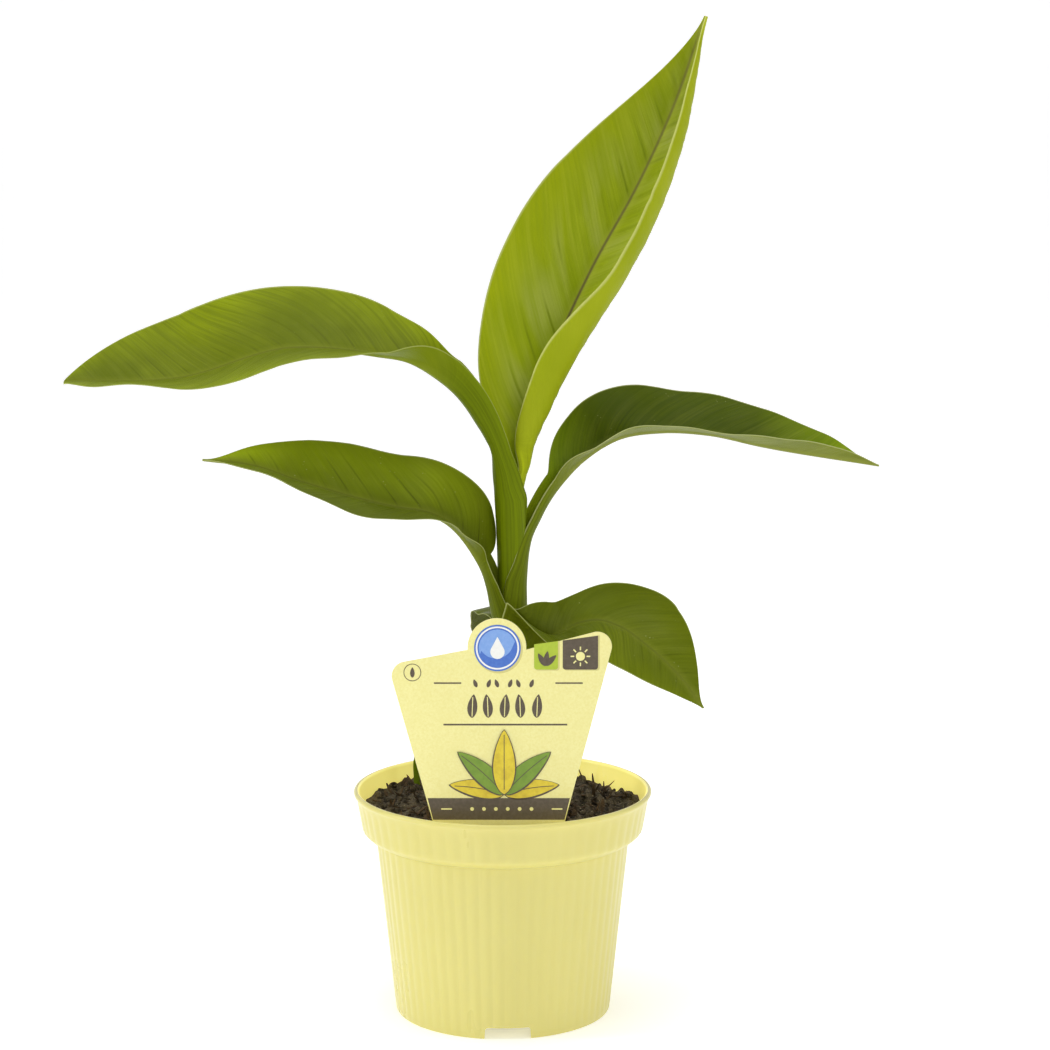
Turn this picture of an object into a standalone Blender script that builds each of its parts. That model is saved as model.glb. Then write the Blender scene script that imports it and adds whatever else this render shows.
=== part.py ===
"""A young hardy banana plant in its nursery pot, with a stick-in plant label.

The pseudostem stands in the soil, rises to a fork, and carries six leaves: one upright,
two to the left, two to the right and one to the back. A leaf is a channelled stalk and a
blade, both swept along one midrib by the same rule. Metres, +Z up, +X to the right, the
label on the -Y side. The origin is on the pot's underside, on the pot's axis.
"""

import math
from dataclasses import dataclass

import bmesh
import bpy
import numpy as np

FIT_GAP = 0.0003  # air between pieces that touch
NECK_GAP = 0.0009  # between a stalk and its blade, along the midrib

# Pot: a turned shell with a straight tapered body, a wider collar and a rounded lip.
POT_HEIGHT = 0.0987
POT_WALL = 0.0012
POT_FOOT_RADIUS = 0.0471
POT_STEP_RADIUS = 0.0553
POT_STEP_HEIGHT = 0.0773
COLLAR_FOOT_RADIUS = 0.0613
COLLAR_FOOT_HEIGHT = 0.0814
COLLAR_TOP_RADIUS = 0.0637
STEP_BULGE = 0.0006  # of the rounded shoulder between the body and the collar
SHOULDER_RISE = 0.0009
COLLAR_TOP_HEIGHT = 0.0950
LIP_RADIUS = 0.0012  # of the bead's round section
LIP_OUTER_RADIUS = 0.0650
POT_FLOOR_UNDER = 0.0054  # the floor is raised on a foot ring and a centre pad
POT_FLOOR_TOP = 0.0068
FOOT_RING_WIDTH = 0.0025
PAD_RADIUS = 0.0140
POT_SEGMENTS = 48
NOTCH_COUNT = 3
NOTCH_WIDTH = 0.0204
NOTCH_HEIGHT = 0.0052
NOTCH_START = math.radians(-87)
DRAIN_COUNT = 6
DRAIN_RADIUS = 0.0040
DRAIN_RING_RADIUS = 0.0300

# Soil: fills the pot to a little below the rim, flat round the stem.
SOIL_HEIGHT = 0.0910
SOIL_EDGE_HEIGHT = 0.0895
SOIL_FLAT_RADIUS = 0.0160

# Label: a thin card with a round head, leaning back a little, on a pointed stake.
CARD_THICKNESS = 0.0010
CARD_FOOT = (0.0, -0.0470, 0.0950)
CARD_LEAN = math.radians(5)
CARD_FOOT_LEFT = 0.0287
CARD_FOOT_RIGHT = 0.0262
CARD_SHOULDER_HALF_WIDTH = 0.0461
CARD_LEFT_HEIGHT = 0.0684
CARD_RIGHT_HEIGHT = 0.0810
CARD_CORNER_RADIUS = 0.0060
CARD_HEAD_RADIUS = 0.0122
CARD_HEAD_CENTRE = (-0.0020, 0.0745)
STAKE_HALF_WIDTH = 0.0070
STAKE_SHOULDER = -0.0060
STAKE_TIP = -0.0370

# Pseudostem: height, centre in X and radius at each station, from its flat cut to the fork.
STEM_STATIONS = (
    (SOIL_HEIGHT + FIT_GAP, 0.0020, 0.0105),
    (0.1100, 0.0021, 0.0088),
    (0.1400, 0.0026, 0.0074),
    (0.1720, 0.0036, 0.0062),
    (0.1950, 0.0038, 0.0057),
    (0.2150, 0.0038, 0.0063),
    (0.2360, 0.0036, 0.0071),
)
STEM_SIDES = 20
STEM_RINGS = 20

STALK_THICKNESS = 0.0018
LEAF_THICKNESS_RATIO = 0.0105  # of the leaf's length
SHOULDER = 0.15  # parts of a blade's length where its angles are given, besides neck and tip
MIDDLE = 0.45


@dataclass
class Half:
    """One half of a leaf, from the midrib to its margin."""

    stalk: tuple  # distance from midrib to margin at the sheath and at the neck
    reach: float  # greatest distance from midrib to margin
    widest: float  # part of the blade's length where it is widest
    fold: tuple  # degrees up from flat at the midrib: at foot, neck, shoulder, middle and tip
    curl: tuple  # degrees that it bends down towards the margin, at the same places
    foot_power: float = 0.7  # nearer 0 gives a rounder lobe at the blade's foot
    tip_power: float = 2.0  # larger keeps the blade wide for longer
    tip_draw: float = 1.2  # larger draws the tip out to a longer point


@dataclass
class Leaf:
    """A leaf swept along its midrib. Left and right are seen from above, looking to the tip."""

    name: str
    route: tuple  # the midrib, from its sheath to the tip
    facing: tuple  # the direction that the upper face turns to
    neck: float  # part of the midrib's length where the stalk ends
    left: Half
    right: Half
    colour: tuple
    roll: tuple = (0, 0, 0, 0, 0)  # degrees that the faces turn about the midrib


UPRIGHT = Leaf(
    name="upright_leaf",
    route=(
        (0.0062, 0.0045, 0.2370),
        (0.0105, 0.0080, 0.2556),
        (0.0162, 0.0100, 0.2745),
        (0.0231, 0.0110, 0.2917),
        (0.0398, 0.0120, 0.3272),
        (0.0569, 0.0150, 0.3578),
        (0.0725, 0.0150, 0.3918),
        (0.0860, 0.0120, 0.4312),
    ),
    facing=(-0.10, -1.0, 0.10),
    neck=0.06,
    left=Half(
        stalk=(0.0065, 0.0072),
        reach=0.0384,
        widest=0.40,
        fold=(0, 0, 5, 12, 10),
        curl=(-150, -50, -15, -5, 0),
        foot_power=0.55,
        tip_power=2.2,
        tip_draw=1.6,
    ),
    right=Half(
        stalk=(0.0112, 0.0158),
        reach=0.0372,
        widest=0.40,
        fold=(0, 0, 0, 0, 0),
        curl=(-165, -220, -200, -138, -145),
        foot_power=0.5,
        tip_power=2.2,
        tip_draw=1.3,
    ),
    colour=(0.30, 0.42, 0.02),
)

UPPER_LEFT = Leaf(
    name="upper_left",
    route=(
        (-0.0026, -0.0040, 0.2366),
        (-0.0057, -0.0040, 0.2521),
        (-0.0110, -0.0030, 0.2626),
        (-0.0184, -0.0020, 0.2724),
        (-0.0283, 0.0000, 0.2804),
        (-0.0395, 0.0020, 0.2863),
        (-0.0545, 0.0040, 0.2888),
        (-0.0912, 0.0080, 0.2910),
        (-0.1390, 0.0100, 0.2779),
        (-0.1896, 0.0120, 0.2759),
    ),
    facing=(0.5, -0.25, 1.0),
    neck=0.22,
    left=Half(
        stalk=(0.0066, 0.0112),
        reach=0.0320,
        widest=0.45,
        fold=(50, 45, 20, 3, 22),
        curl=(-50, -50, 0, 0, 0),
        foot_power=0.9,
        tip_power=3.4,
        tip_draw=1.0,
    ),
    right=Half(
        stalk=(0.0035, 0.0112),
        reach=0.0385,
        widest=0.50,
        fold=(50, 45, 32, 27, 28),
        curl=(-50, -40, -10, 0, 0),
        foot_power=0.95,
        tip_power=3.4,
        tip_draw=1.0,
    ),
    colour=(0.16, 0.30, 0.03),
    roll=(20, 15, 0, 0, 0),
)

LOWER_LEFT = Leaf(
    name="lower_left",
    route=(
        (-0.0027, -0.0040, 0.1680),
        (-0.0040, -0.0045, 0.1800),
        (-0.0063, -0.0055, 0.1905),
        (-0.0096, -0.0065, 0.2004),
        (-0.0150, -0.0080, 0.2095),
        (-0.0213, -0.0095, 0.2166),
        (-0.0308, -0.0120, 0.2223),
        (-0.0435, -0.0140, 0.2248),
        (-0.0853, -0.0210, 0.2372),
        (-0.1040, -0.0240, 0.2440),
        (-0.1258, -0.0260, 0.2470),
    ),
    facing=(0.5, -0.25, 1.0),
    neck=0.20,
    left=Half(
        stalk=(0.0066, 0.0045),
        reach=0.0200,
        widest=0.40,
        fold=(50, 10, 20, 4, 14),
        curl=(-50, -50, 0, 0, 0),
        foot_power=0.7,
        tip_power=2.6,
        tip_draw=1.5,
    ),
    right=Half(
        stalk=(0.0080, 0.0066),
        reach=0.0275,
        widest=0.42,
        fold=(50, 45, 43, 27, 28),
        curl=(-50, -20, 0, 0, 0),
        foot_power=0.41,
        tip_power=3.0,
        tip_draw=2.0,
    ),
    colour=(0.12, 0.24, 0.03),
    roll=(27, 15, 0, 0, 0),
)

RIGHT = Leaf(
    name="right",
    route=(
        (0.0092, 0.0030, 0.1880),
        (0.0097, 0.0035, 0.1970),
        (0.0119, 0.0040, 0.2085),
        (0.0197, 0.0060, 0.2257),
        (0.0357, 0.0090, 0.2437),
        (0.0509, 0.0110, 0.2521),
        (0.0683, 0.0130, 0.2545),
        (0.0901, 0.0150, 0.2530),
        (0.1120, 0.0160, 0.2480),
        (0.1642, 0.0180, 0.2387),
    ),
    facing=(-0.5, -0.25, 1.0),
    neck=0.243,
    left=Half(
        stalk=(0.0054, 0.0060),
        reach=0.0280,
        widest=0.38,
        fold=(50, 44, 45, 18, 17),
        curl=(-50, -30, 0, 0, 0),
        foot_power=0.72,
        tip_power=3.0,
        tip_draw=1.3,
    ),
    right=Half(
        stalk=(0.0066, 0.0058),
        reach=0.0220,
        widest=0.38,
        fold=(50, 50, 24, 22, 52),
        curl=(-50, -30, 0, 0, 0),
        foot_power=0.7,
        tip_power=3.0,
        tip_draw=1.3,
    ),
    colour=(0.10, 0.22, 0.03),
    roll=(25, 20, 0, 0, 0),
)

LOWER_RIGHT = Leaf(
    name="lower_right",
    route=(
        (0.0050, -0.0085, 0.1500),
        (0.0085, -0.0090, 0.1575),
        (0.0130, -0.0100, 0.1620),
        (0.0185, -0.0115, 0.1660),
        (0.0250, -0.0130, 0.1706),
        (0.0330, -0.0145, 0.1750),
        (0.0415, -0.0165, 0.1766),
        (0.0505, -0.0190, 0.1742),
        (0.0617, -0.0230, 0.1668),
        (0.0756, -0.0270, 0.1541),
        (0.0858, -0.0300, 0.1409),
    ),
    facing=(-0.1, -0.5, 1.0),
    neck=0.19,
    left=Half(
        stalk=(0.0090, 0.0204),
        reach=0.0258,
        widest=0.50,
        fold=(50, 72, 25, 11, 16),
        curl=(-50, -20, 0, 10, 10),
        foot_power=2.3,
        tip_power=2.0,
        tip_draw=1.9,
    ),
    right=Half(
        stalk=(0.0090, 0.0165),
        reach=0.0210,
        widest=0.42,
        fold=(50, 80, 5, 10, 0),
        curl=(-50, -10, 20, 20, 10),
        foot_power=0.9,
        tip_power=2.0,
        tip_draw=1.2,
    ),
    colour=(0.11, 0.22, 0.03),
)

BACK = Leaf(
    name="back",
    route=(
        (0.0020, 0.0040, 0.1540),
        (0.0010, 0.0100, 0.1680),
        (0.0000, 0.0250, 0.1743),
        (-0.0005, 0.0450, 0.1706),
        (-0.0012, 0.0620, 0.1573),
        (-0.0018, 0.0750, 0.1390),
    ),
    facing=(0.0, -0.4, 1.0),
    neck=0.20,
    left=Half(
        stalk=(0.0070, 0.0060),
        reach=0.0155,
        widest=0.50,
        fold=(30, 20, -5, -12, 0),
        curl=(-60, 0, 15, 20, 10),
        foot_power=0.5,
    ),
    right=Half(
        stalk=(0.0070, 0.0060),
        reach=0.0172,
        widest=0.50,
        fold=(30, 10, -8, -12, 0),
        curl=(-60, 0, 15, 20, 10),
        foot_power=0.5,
    ),
    colour=(0.13, 0.22, 0.05),
)

OFFSHOOT = Leaf(
    name="offshoot",
    route=(
        (-0.0370, 0.0360, 0.0907),
        (-0.0365, 0.0370, 0.0973),
        (-0.0345, 0.0380, 0.1086),
        (-0.0310, 0.0390, 0.1199),
    ),
    facing=(0.2, -1.0, 0.1),
    neck=0.06,
    left=Half(
        stalk=(0.0030, 0.0038),
        reach=0.0050,
        widest=0.35,
        fold=(10, 10, 15, 15, 10),
        curl=(-20, -20, -20, -20, 0),
    ),
    right=Half(
        stalk=(0.0030, 0.0038),
        reach=0.0050,
        widest=0.35,
        fold=(10, 10, 15, 15, 10),
        curl=(-20, -20, -20, -20, 0),
    ),
    colour=(0.16, 0.26, 0.05),
)

STALKED_LEAVES = (UPPER_LEFT, LOWER_LEFT, RIGHT, LOWER_RIGHT, BACK)


def clear_scene():
    for obj in list(bpy.data.objects):
        bpy.data.objects.remove(obj)


def new_collection(name):
    collection = bpy.data.collections.new(name)
    bpy.context.scene.collection.children.link(collection)
    return collection


def new_material(name, colour, roughness):
    material = bpy.data.materials.new(name)
    material.use_nodes = True
    shader = material.node_tree.nodes["Principled BSDF"]
    shader.inputs["Base Color"].default_value = (*colour, 1)
    shader.inputs["Roughness"].default_value = roughness
    shader.inputs["Metallic"].default_value = 0
    return material


def add_object(name, mesh, collection, material=None):
    obj = bpy.data.objects.new(name, mesh)
    collection.objects.link(obj)
    if material:
        mesh.materials.append(material)
    return obj


def smooth(mesh, angle=40):
    mesh.shade_smooth()
    mesh.set_sharp_from_angle(angle=math.radians(angle))


def as_cutter(obj):
    obj.hide_render = True
    obj.display_type = "WIRE"


def cut(obj, cutter):
    modifier = obj.modifiers.new("cut " + cutter.name, "BOOLEAN")
    modifier.operation = "DIFFERENCE"
    modifier.solver = "EXACT"
    modifier.object = cutter


def turned(name, profile, collection, material=None):
    """A profile of (radius, height), down its outer side, turned round the Z axis."""
    mesh = bpy.data.meshes.new(name)
    points = [(radius, 0, height) for radius, height in profile]
    edges = [(i, i + 1) for i in range(len(points) - 1)]
    mesh.from_pydata(points, edges, [])
    obj = add_object(name, mesh, collection, material)
    screw = obj.modifiers.new("turn", "SCREW")
    screw.steps = screw.render_steps = POT_SEGMENTS
    screw.use_merge_vertices = True
    screw.merge_threshold = 0.00001
    screw.use_smooth_shade = True
    return obj


def pot_outside():
    """(radius, height) down the outer wall, from the collar's top to the ground."""
    rise = COLLAR_FOOT_HEIGHT - POT_STEP_HEIGHT
    run = COLLAR_FOOT_RADIUS - POT_STEP_RADIUS
    step = []
    for share in np.linspace(0, 1, 5):
        bulge = STEP_BULGE * math.sin(math.pi * share)
        step.append(
            (
                COLLAR_FOOT_RADIUS - run * share + bulge * rise / math.hypot(rise, run),
                COLLAR_FOOT_HEIGHT - rise * share - bulge * run / math.hypot(rise, run),
            )
        )
    return [(COLLAR_TOP_RADIUS, COLLAR_TOP_HEIGHT), *step, (POT_FOOT_RADIUS, 0)]


def pot_lip():
    """The bead on the rim, from its inner side over the top to its outer side."""
    centre = LIP_OUTER_RADIUS - LIP_RADIUS
    top = POT_HEIGHT - LIP_RADIUS
    turns = [math.radians(angle) for angle in range(180, -61, -30)]
    return [(centre + LIP_RADIUS * math.cos(turn), top + LIP_RADIUS * math.sin(turn)) for turn in turns]


def soil_wall(clearance):
    """(radius, height) down the pot's inner wall, set in by the clearance.

    It is raised as well, which keeps the wall thick on the flat slope of the shoulder.
    """
    inset = POT_WALL + clearance
    return [(radius - inset, height + SHOULDER_RISE) for radius, height in pot_outside()[:-1]]


def inner_foot_radius(clearance):
    taper = (POT_STEP_RADIUS - POT_FOOT_RADIUS) / POT_STEP_HEIGHT
    return POT_FOOT_RADIUS + taper * POT_FLOOR_TOP - POT_WALL - clearance


def make_pot(collection, cutters, material):
    inside = [(0, POT_FLOOR_TOP), (inner_foot_radius(0), POT_FLOOR_TOP), *reversed(soil_wall(0))]
    ring = POT_FOOT_RADIUS - FOOT_RING_WIDTH
    under = [
        (ring, 0),
        (ring, POT_FLOOR_UNDER),
        (PAD_RADIUS, POT_FLOOR_UNDER),
        (PAD_RADIUS, 0),
        (0, 0),
    ]
    pot = turned("pot", inside + pot_lip() + pot_outside() + under, collection, material)
    notch = foot_notches(cutters)
    drain = drain_holes(cutters)
    cut(pot, notch)
    cut(pot, drain)
    return pot


def foot_notches(cutters):
    """Slots through the foot ring, evenly round the pot."""
    build = bmesh.new()
    for index in range(NOTCH_COUNT):
        turn = NOTCH_START + index * math.tau / NOTCH_COUNT
        made = bmesh.ops.create_cube(build, size=1)["verts"]
        for vertex in made:
            along = POT_FOOT_RADIUS + vertex.co.x * 3 * FOOT_RING_WIDTH
            across = vertex.co.y * NOTCH_WIDTH * (1 if vertex.co.z < 0 else 0.93)
            vertex.co = (
                along * math.cos(turn) - across * math.sin(turn),
                along * math.sin(turn) + across * math.cos(turn),
                vertex.co.z * 2 * NOTCH_HEIGHT,
            )
    mesh = bpy.data.meshes.new("notch_cutter")
    build.to_mesh(mesh)
    build.free()
    notch = add_object("notch_cutter", mesh, cutters)
    as_cutter(notch)
    return notch


def drain_holes(cutters):
    """Round holes through the raised floor."""
    build = bmesh.new()
    for index in range(DRAIN_COUNT):
        turn = (index + 0.5) * math.tau / DRAIN_COUNT
        made = bmesh.ops.create_cone(
            build,
            cap_ends=True,
            segments=16,
            radius1=DRAIN_RADIUS,
            radius2=DRAIN_RADIUS,
            depth=0.004,
        )["verts"]
        centre = (
            DRAIN_RING_RADIUS * math.cos(turn),
            DRAIN_RING_RADIUS * math.sin(turn),
            (POT_FLOOR_UNDER + POT_FLOOR_TOP) / 2,
        )
        bmesh.ops.translate(build, verts=made, vec=centre)
    mesh = bpy.data.meshes.new("drain_cutter")
    build.to_mesh(mesh)
    build.free()
    drain = add_object("drain_cutter", mesh, cutters)
    as_cutter(drain)
    return drain


def make_soil(collection, cutter, material):
    wall = [point for point in soil_wall(FIT_GAP) if point[1] < SOIL_EDGE_HEIGHT]
    top, low = soil_wall(FIT_GAP)[:2]
    share = (SOIL_EDGE_HEIGHT - low[1]) / (top[1] - low[1])
    edge = (low[0] + share * (top[0] - low[0]), SOIL_EDGE_HEIGHT)
    floor = POT_FLOOR_TOP + FIT_GAP
    profile = [
        (0, SOIL_HEIGHT),
        (SOIL_FLAT_RADIUS, SOIL_HEIGHT),
        edge,
        *wall,
        (inner_foot_radius(FIT_GAP), floor),
        (0, floor),
    ]
    soil = turned("soil", profile, collection, material)
    cut(soil, cutter)
    return soil


def arc(centre, radius, start, end, count=6):
    """Points on an arc of a circle, angles in degrees."""
    turns = [math.radians(start + (end - start) * i / count) for i in range(count + 1)]
    return [(centre[0] + radius * math.cos(t), centre[1] + radius * math.sin(t)) for t in turns]


def card_outline(grow=0.0):
    """The card's outline in its own plane, (across, up) from the middle of its foot."""
    left_foot = CARD_FOOT_LEFT + grow
    right_foot = CARD_FOOT_RIGHT + grow
    shoulder = CARD_SHOULDER_HALF_WIDTH + grow
    corner = CARD_CORNER_RADIUS
    slope = (CARD_RIGHT_HEIGHT - CARD_LEFT_HEIGHT) / (2 * shoulder)
    tilt = math.degrees(math.atan(slope))
    left_flare = math.degrees(math.atan2(CARD_LEFT_HEIGHT, shoulder - left_foot))
    right_flare = math.degrees(math.atan2(CARD_RIGHT_HEIGHT, shoulder - right_foot))
    left = (-shoulder + corner, CARD_LEFT_HEIGHT - corner)
    right = (shoulder - corner, CARD_RIGHT_HEIGHT - corner)
    head_x, head_y = CARD_HEAD_CENTRE
    half_angle = math.degrees(math.acos((head_y - CARD_LEFT_HEIGHT - 0.0050) / CARD_HEAD_RADIUS))
    outline = [(-left_foot, 0)]
    outline += arc(left, corner, 270 - left_flare, 90 + tilt)
    outline += arc((head_x, head_y), CARD_HEAD_RADIUS, 270 - half_angle, -90 + half_angle, 20)
    outline += arc(right, corner, 90 + tilt, right_flare - 90)
    stake = STAKE_HALF_WIDTH + grow
    outline += [(right_foot, 0), (stake, STAKE_SHOULDER - grow), (stake, STAKE_TIP + 2 * stake)]
    outline += [(0, STAKE_TIP - grow), (-stake, STAKE_TIP + 2 * stake), (-stake, STAKE_SHOULDER - grow)]
    return outline


def card_mesh(name, thickness, grow=0.0):
    """The card as a flat outline, filled and extruded, welded into one closed mesh."""
    curve = bpy.data.curves.new(name, "CURVE")
    curve.dimensions = "2D"
    curve.fill_mode = "BOTH"
    curve.extrude = thickness / 2
    outline = card_outline(grow)
    spline = curve.splines.new("POLY")
    spline.points.add(len(outline) - 1)
    spline.use_cyclic_u = True
    for point, (across, up) in zip(spline.points, outline):
        point.co = (across, up, 0, 1)
    drawn = bpy.data.objects.new(name, curve)
    bpy.context.scene.collection.objects.link(drawn)
    graph = bpy.context.evaluated_depsgraph_get()
    mesh = bpy.data.meshes.new_from_object(drawn.evaluated_get(graph))
    bpy.data.objects.remove(drawn)
    build = bmesh.new()
    build.from_mesh(mesh)
    bmesh.ops.remove_doubles(build, verts=build.verts, dist=0.000001)
    build.to_mesh(mesh)
    build.free()
    return mesh


def stand_card(obj):
    obj.location = CARD_FOOT
    obj.rotation_euler = (math.radians(90) - CARD_LEAN, 0, 0)


def make_label(collection, cutters, material):
    label = add_object("plant_label", card_mesh("plant_label", CARD_THICKNESS), collection, material)
    stand_card(label)
    room = card_mesh("label_slot", CARD_THICKNESS + 2 * FIT_GAP, FIT_GAP)
    slot = add_object("label_slot", room, cutters)
    stand_card(slot)
    as_cutter(slot)
    return slot


def follow(stations, values, where):
    """Values at any places along stations, on a smooth curve through the stations' own."""
    stations = np.asarray(stations, float)
    values = np.asarray(values, float)
    slopes = np.gradient(values, stations, axis=0)
    index = np.clip(np.searchsorted(stations, where, side="right") - 1, 0, len(stations) - 2)
    span = stations[index + 1] - stations[index]
    part = (where - stations[index]) / span
    if values.ndim > 1:
        span, part = span[:, None], part[:, None]
    start, end = values[index], values[index + 1]
    rise = 2 * part**3 - 3 * part**2
    first = part**3 - 2 * part**2 + part
    last = part**3 - part**2
    return start * (1 + rise) - end * rise + span * (first * slopes[index] + last * slopes[index + 1])


def blend(stations, values, where):
    """Values at any places along stations, level at each station and eased between them."""
    index = np.clip(np.searchsorted(stations, where, side="right") - 1, 0, len(stations) - 2)
    stations = np.asarray(stations, float)
    values = np.asarray(values, float)
    part = (where - stations[index]) / (stations[index + 1] - stations[index])
    ease = part * part * (3 - 2 * part)
    return values[index] + (values[index + 1] - values[index]) * ease


def midrib(route):
    """A function from parts of the length to points on the smooth route."""
    route = np.asarray(route, float)
    chords = np.r_[0, np.cumsum(np.linalg.norm(np.diff(route, axis=0), axis=1))]
    fine = follow(chords, route, np.linspace(0, chords[-1], 400))
    steps = np.r_[0, np.cumsum(np.linalg.norm(np.diff(fine, axis=0), axis=1))]

    def place(parts):
        wanted = np.asarray(parts) * steps[-1]
        return np.stack([np.interp(wanted, steps, fine[:, axis]) for axis in range(3)], axis=1)

    return place, steps[-1]


def half_width(leaf, half, parts):
    """Distance from midrib to margin at parts of the leaf's length."""
    foot, neck = half.stalk
    blade = np.clip((parts - leaf.neck) / (1 - leaf.neck), 0, 1)
    before = np.clip(1 - blade / half.widest, 0, 1)
    after = np.clip((blade - half.widest) / (1 - half.widest), 0, 1)
    swell = (1 - before**2) ** half.foot_power * (1 - after**half.tip_power) ** half.tip_draw
    stalk = foot + (neck - foot) * np.clip(parts / leaf.neck, 0, 1)
    return np.hypot(stalk * (1 - blade) ** 3, half.reach * swell) + 0.0003


def leaf_grid(leaf, start, end, rows, columns):
    """Rows of points across the leaf's upper face, from the left margin to the right."""
    place, _ = midrib(leaf.route)
    parts = start + (end - start) * np.linspace(0, 1, rows + 1)
    rib = place(parts)
    step = 0.002
    ahead = place(np.clip(parts + step, 0, 1)) - place(np.clip(parts - step, 0, 1))
    tangent = ahead / np.linalg.norm(ahead, axis=1)[:, None]
    facing = np.asarray(leaf.facing, float)
    normal = facing - tangent * (tangent @ facing)[:, None]
    normal /= np.linalg.norm(normal, axis=1)[:, None]
    side = np.cross(tangent, normal)
    blade = 1 - leaf.neck
    stations = (0, leaf.neck, leaf.neck + SHOULDER * blade, leaf.neck + MIDDLE * blade, 1)
    roll = np.radians(blend(stations, leaf.roll, parts))[:, None]
    normal, side = (
        np.cos(roll) * normal + np.sin(roll) * side,
        np.cos(roll) * side - np.sin(roll) * normal,
    )
    halves = []
    for sign, half in ((-1, leaf.left), (1, leaf.right)):
        width = half_width(leaf, half, parts)
        fold = np.radians(blend(stations, half.fold, parts))
        curl = np.radians(blend(stations, half.curl, parts))
        curl = np.where(np.abs(curl) < 0.001, 0.001, curl)
        points = []
        for column in range(1, columns + 1):
            share = column / columns
            turned_to = fold - curl * share
            out = width / curl * (np.sin(fold) - np.sin(turned_to))
            up = width / curl * (np.cos(turned_to) - np.cos(fold))
            points.append(rib + sign * side * out[:, None] + normal * up[:, None])
        halves.append(points)
    left, right = halves
    return np.stack([*reversed(left), rib, *right], axis=1)


def sheet(name, grid, thickness, collection, material):
    """A grid of points as an open surface, thickened away from its upper face."""
    rows, columns, _ = grid.shape
    faces = [
        (
            row * columns + column,
            row * columns + column + 1,
            (row + 1) * columns + column + 1,
            (row + 1) * columns + column,
        )
        for row in range(rows - 1)
        for column in range(columns - 1)
    ]
    mesh = bpy.data.meshes.new(name)
    mesh.from_pydata(grid.reshape(-1, 3).tolist(), [], faces)
    smooth(mesh, 60)
    obj = add_object(name, mesh, collection, material)
    solid = obj.modifiers.new("thickness", "SOLIDIFY")
    solid.thickness = thickness
    solid.offset = -1
    solid.use_even_offset = False
    return obj


def make_blade(leaf, collection, material, start):
    length = midrib(leaf.route)[1]
    grid = leaf_grid(leaf, start, 1, 22, 5)
    return sheet(blade_name(leaf), grid, length * LEAF_THICKNESS_RATIO, collection, material)


def blade_name(leaf):
    return leaf.name if leaf in (UPRIGHT, OFFSHOOT) else leaf.name + "_leaf"


def make_stalked_leaf(leaf, stem_room, collection, material):
    """A stalk cut clear of the pseudostem, and a blade that begins a gap beyond it."""
    length = midrib(leaf.route)[1]
    gap = NECK_GAP / length
    grid = leaf_grid(leaf, 0, leaf.neck - gap, 12, 4)
    stalk = sheet(leaf.name + "_stalk", grid, STALK_THICKNESS, collection, material)
    if leaf is not UPPER_LEFT:
        cut(stalk, stem_room)
    make_blade(leaf, collection, material, leaf.neck)


def stem_mesh(name, grow=0.0):
    """A loft through the stem's round sections, closed by a flat cut at both ends."""
    heights, centres, radii = np.array(STEM_STATIONS).T
    levels = np.linspace(heights[0], heights[-1], STEM_RINGS + 1)
    middle = follow(heights, centres, levels)
    radius = follow(heights, radii, levels) + grow
    levels[0] -= grow
    levels[-1] += grow
    build = bmesh.new()
    rings = []
    for level, x, r in zip(levels, middle, radius):
        turns = [math.tau * side / STEM_SIDES for side in range(STEM_SIDES)]
        rings.append([build.verts.new((x + r * math.cos(t), r * math.sin(t), level)) for t in turns])
    for lower, upper in zip(rings, rings[1:]):
        for side in range(STEM_SIDES):
            beside = (side + 1) % STEM_SIDES
            build.faces.new((lower[side], lower[beside], upper[beside], upper[side]))
    build.faces.new(reversed(rings[0]))
    build.faces.new(rings[-1])
    mesh = bpy.data.meshes.new(name)
    build.to_mesh(mesh)
    build.free()
    smooth(mesh)
    return mesh


def main():
    clear_scene()
    plant = new_collection("hardy_banana_plant")
    cutters = new_collection("cutters")
    plastic = new_material("pot plastic", (0.80, 0.76, 0.35), 0.45)
    peat = new_material("peat", (0.03, 0.02, 0.015), 0.95)
    card = new_material("label card", (0.88, 0.85, 0.45), 0.4)
    stem_skin = new_material("stem skin", (0.14, 0.22, 0.01), 0.4)

    make_pot(plant, cutters, plastic)
    slot = make_label(plant, cutters, card)
    make_soil(plant, slot, peat)
    add_object("pseudostem", stem_mesh("pseudostem"), plant, stem_skin)
    stem_room = add_object("stem_room", stem_mesh("stem_room", FIT_GAP), cutters)
    as_cutter(stem_room)
    for leaf in STALKED_LEAVES:
        material = new_material(leaf.name + " skin", leaf.colour, 0.4)
        make_stalked_leaf(leaf, stem_room, plant, material)
    for leaf in (UPRIGHT, OFFSHOOT):
        material = new_material(leaf.name + " skin", leaf.colour, 0.4)
        blade = make_blade(leaf, plant, material, 0)
        if leaf is UPRIGHT:
            cut(blade, stem_room)


if __name__ == "__main__":
    main()
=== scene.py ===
"""The looks of a young hardy banana plant in its nursery pot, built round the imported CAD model.

The leaves follow the same midribs and sections as the solids, on finer grids with veins, ribs
and thin margins. Metres, +Z up, the label on the -Y side.
"""

import math
from dataclasses import dataclass

import bmesh
import bpy
import numpy as np
from mathutils import Matrix, Vector


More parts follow.
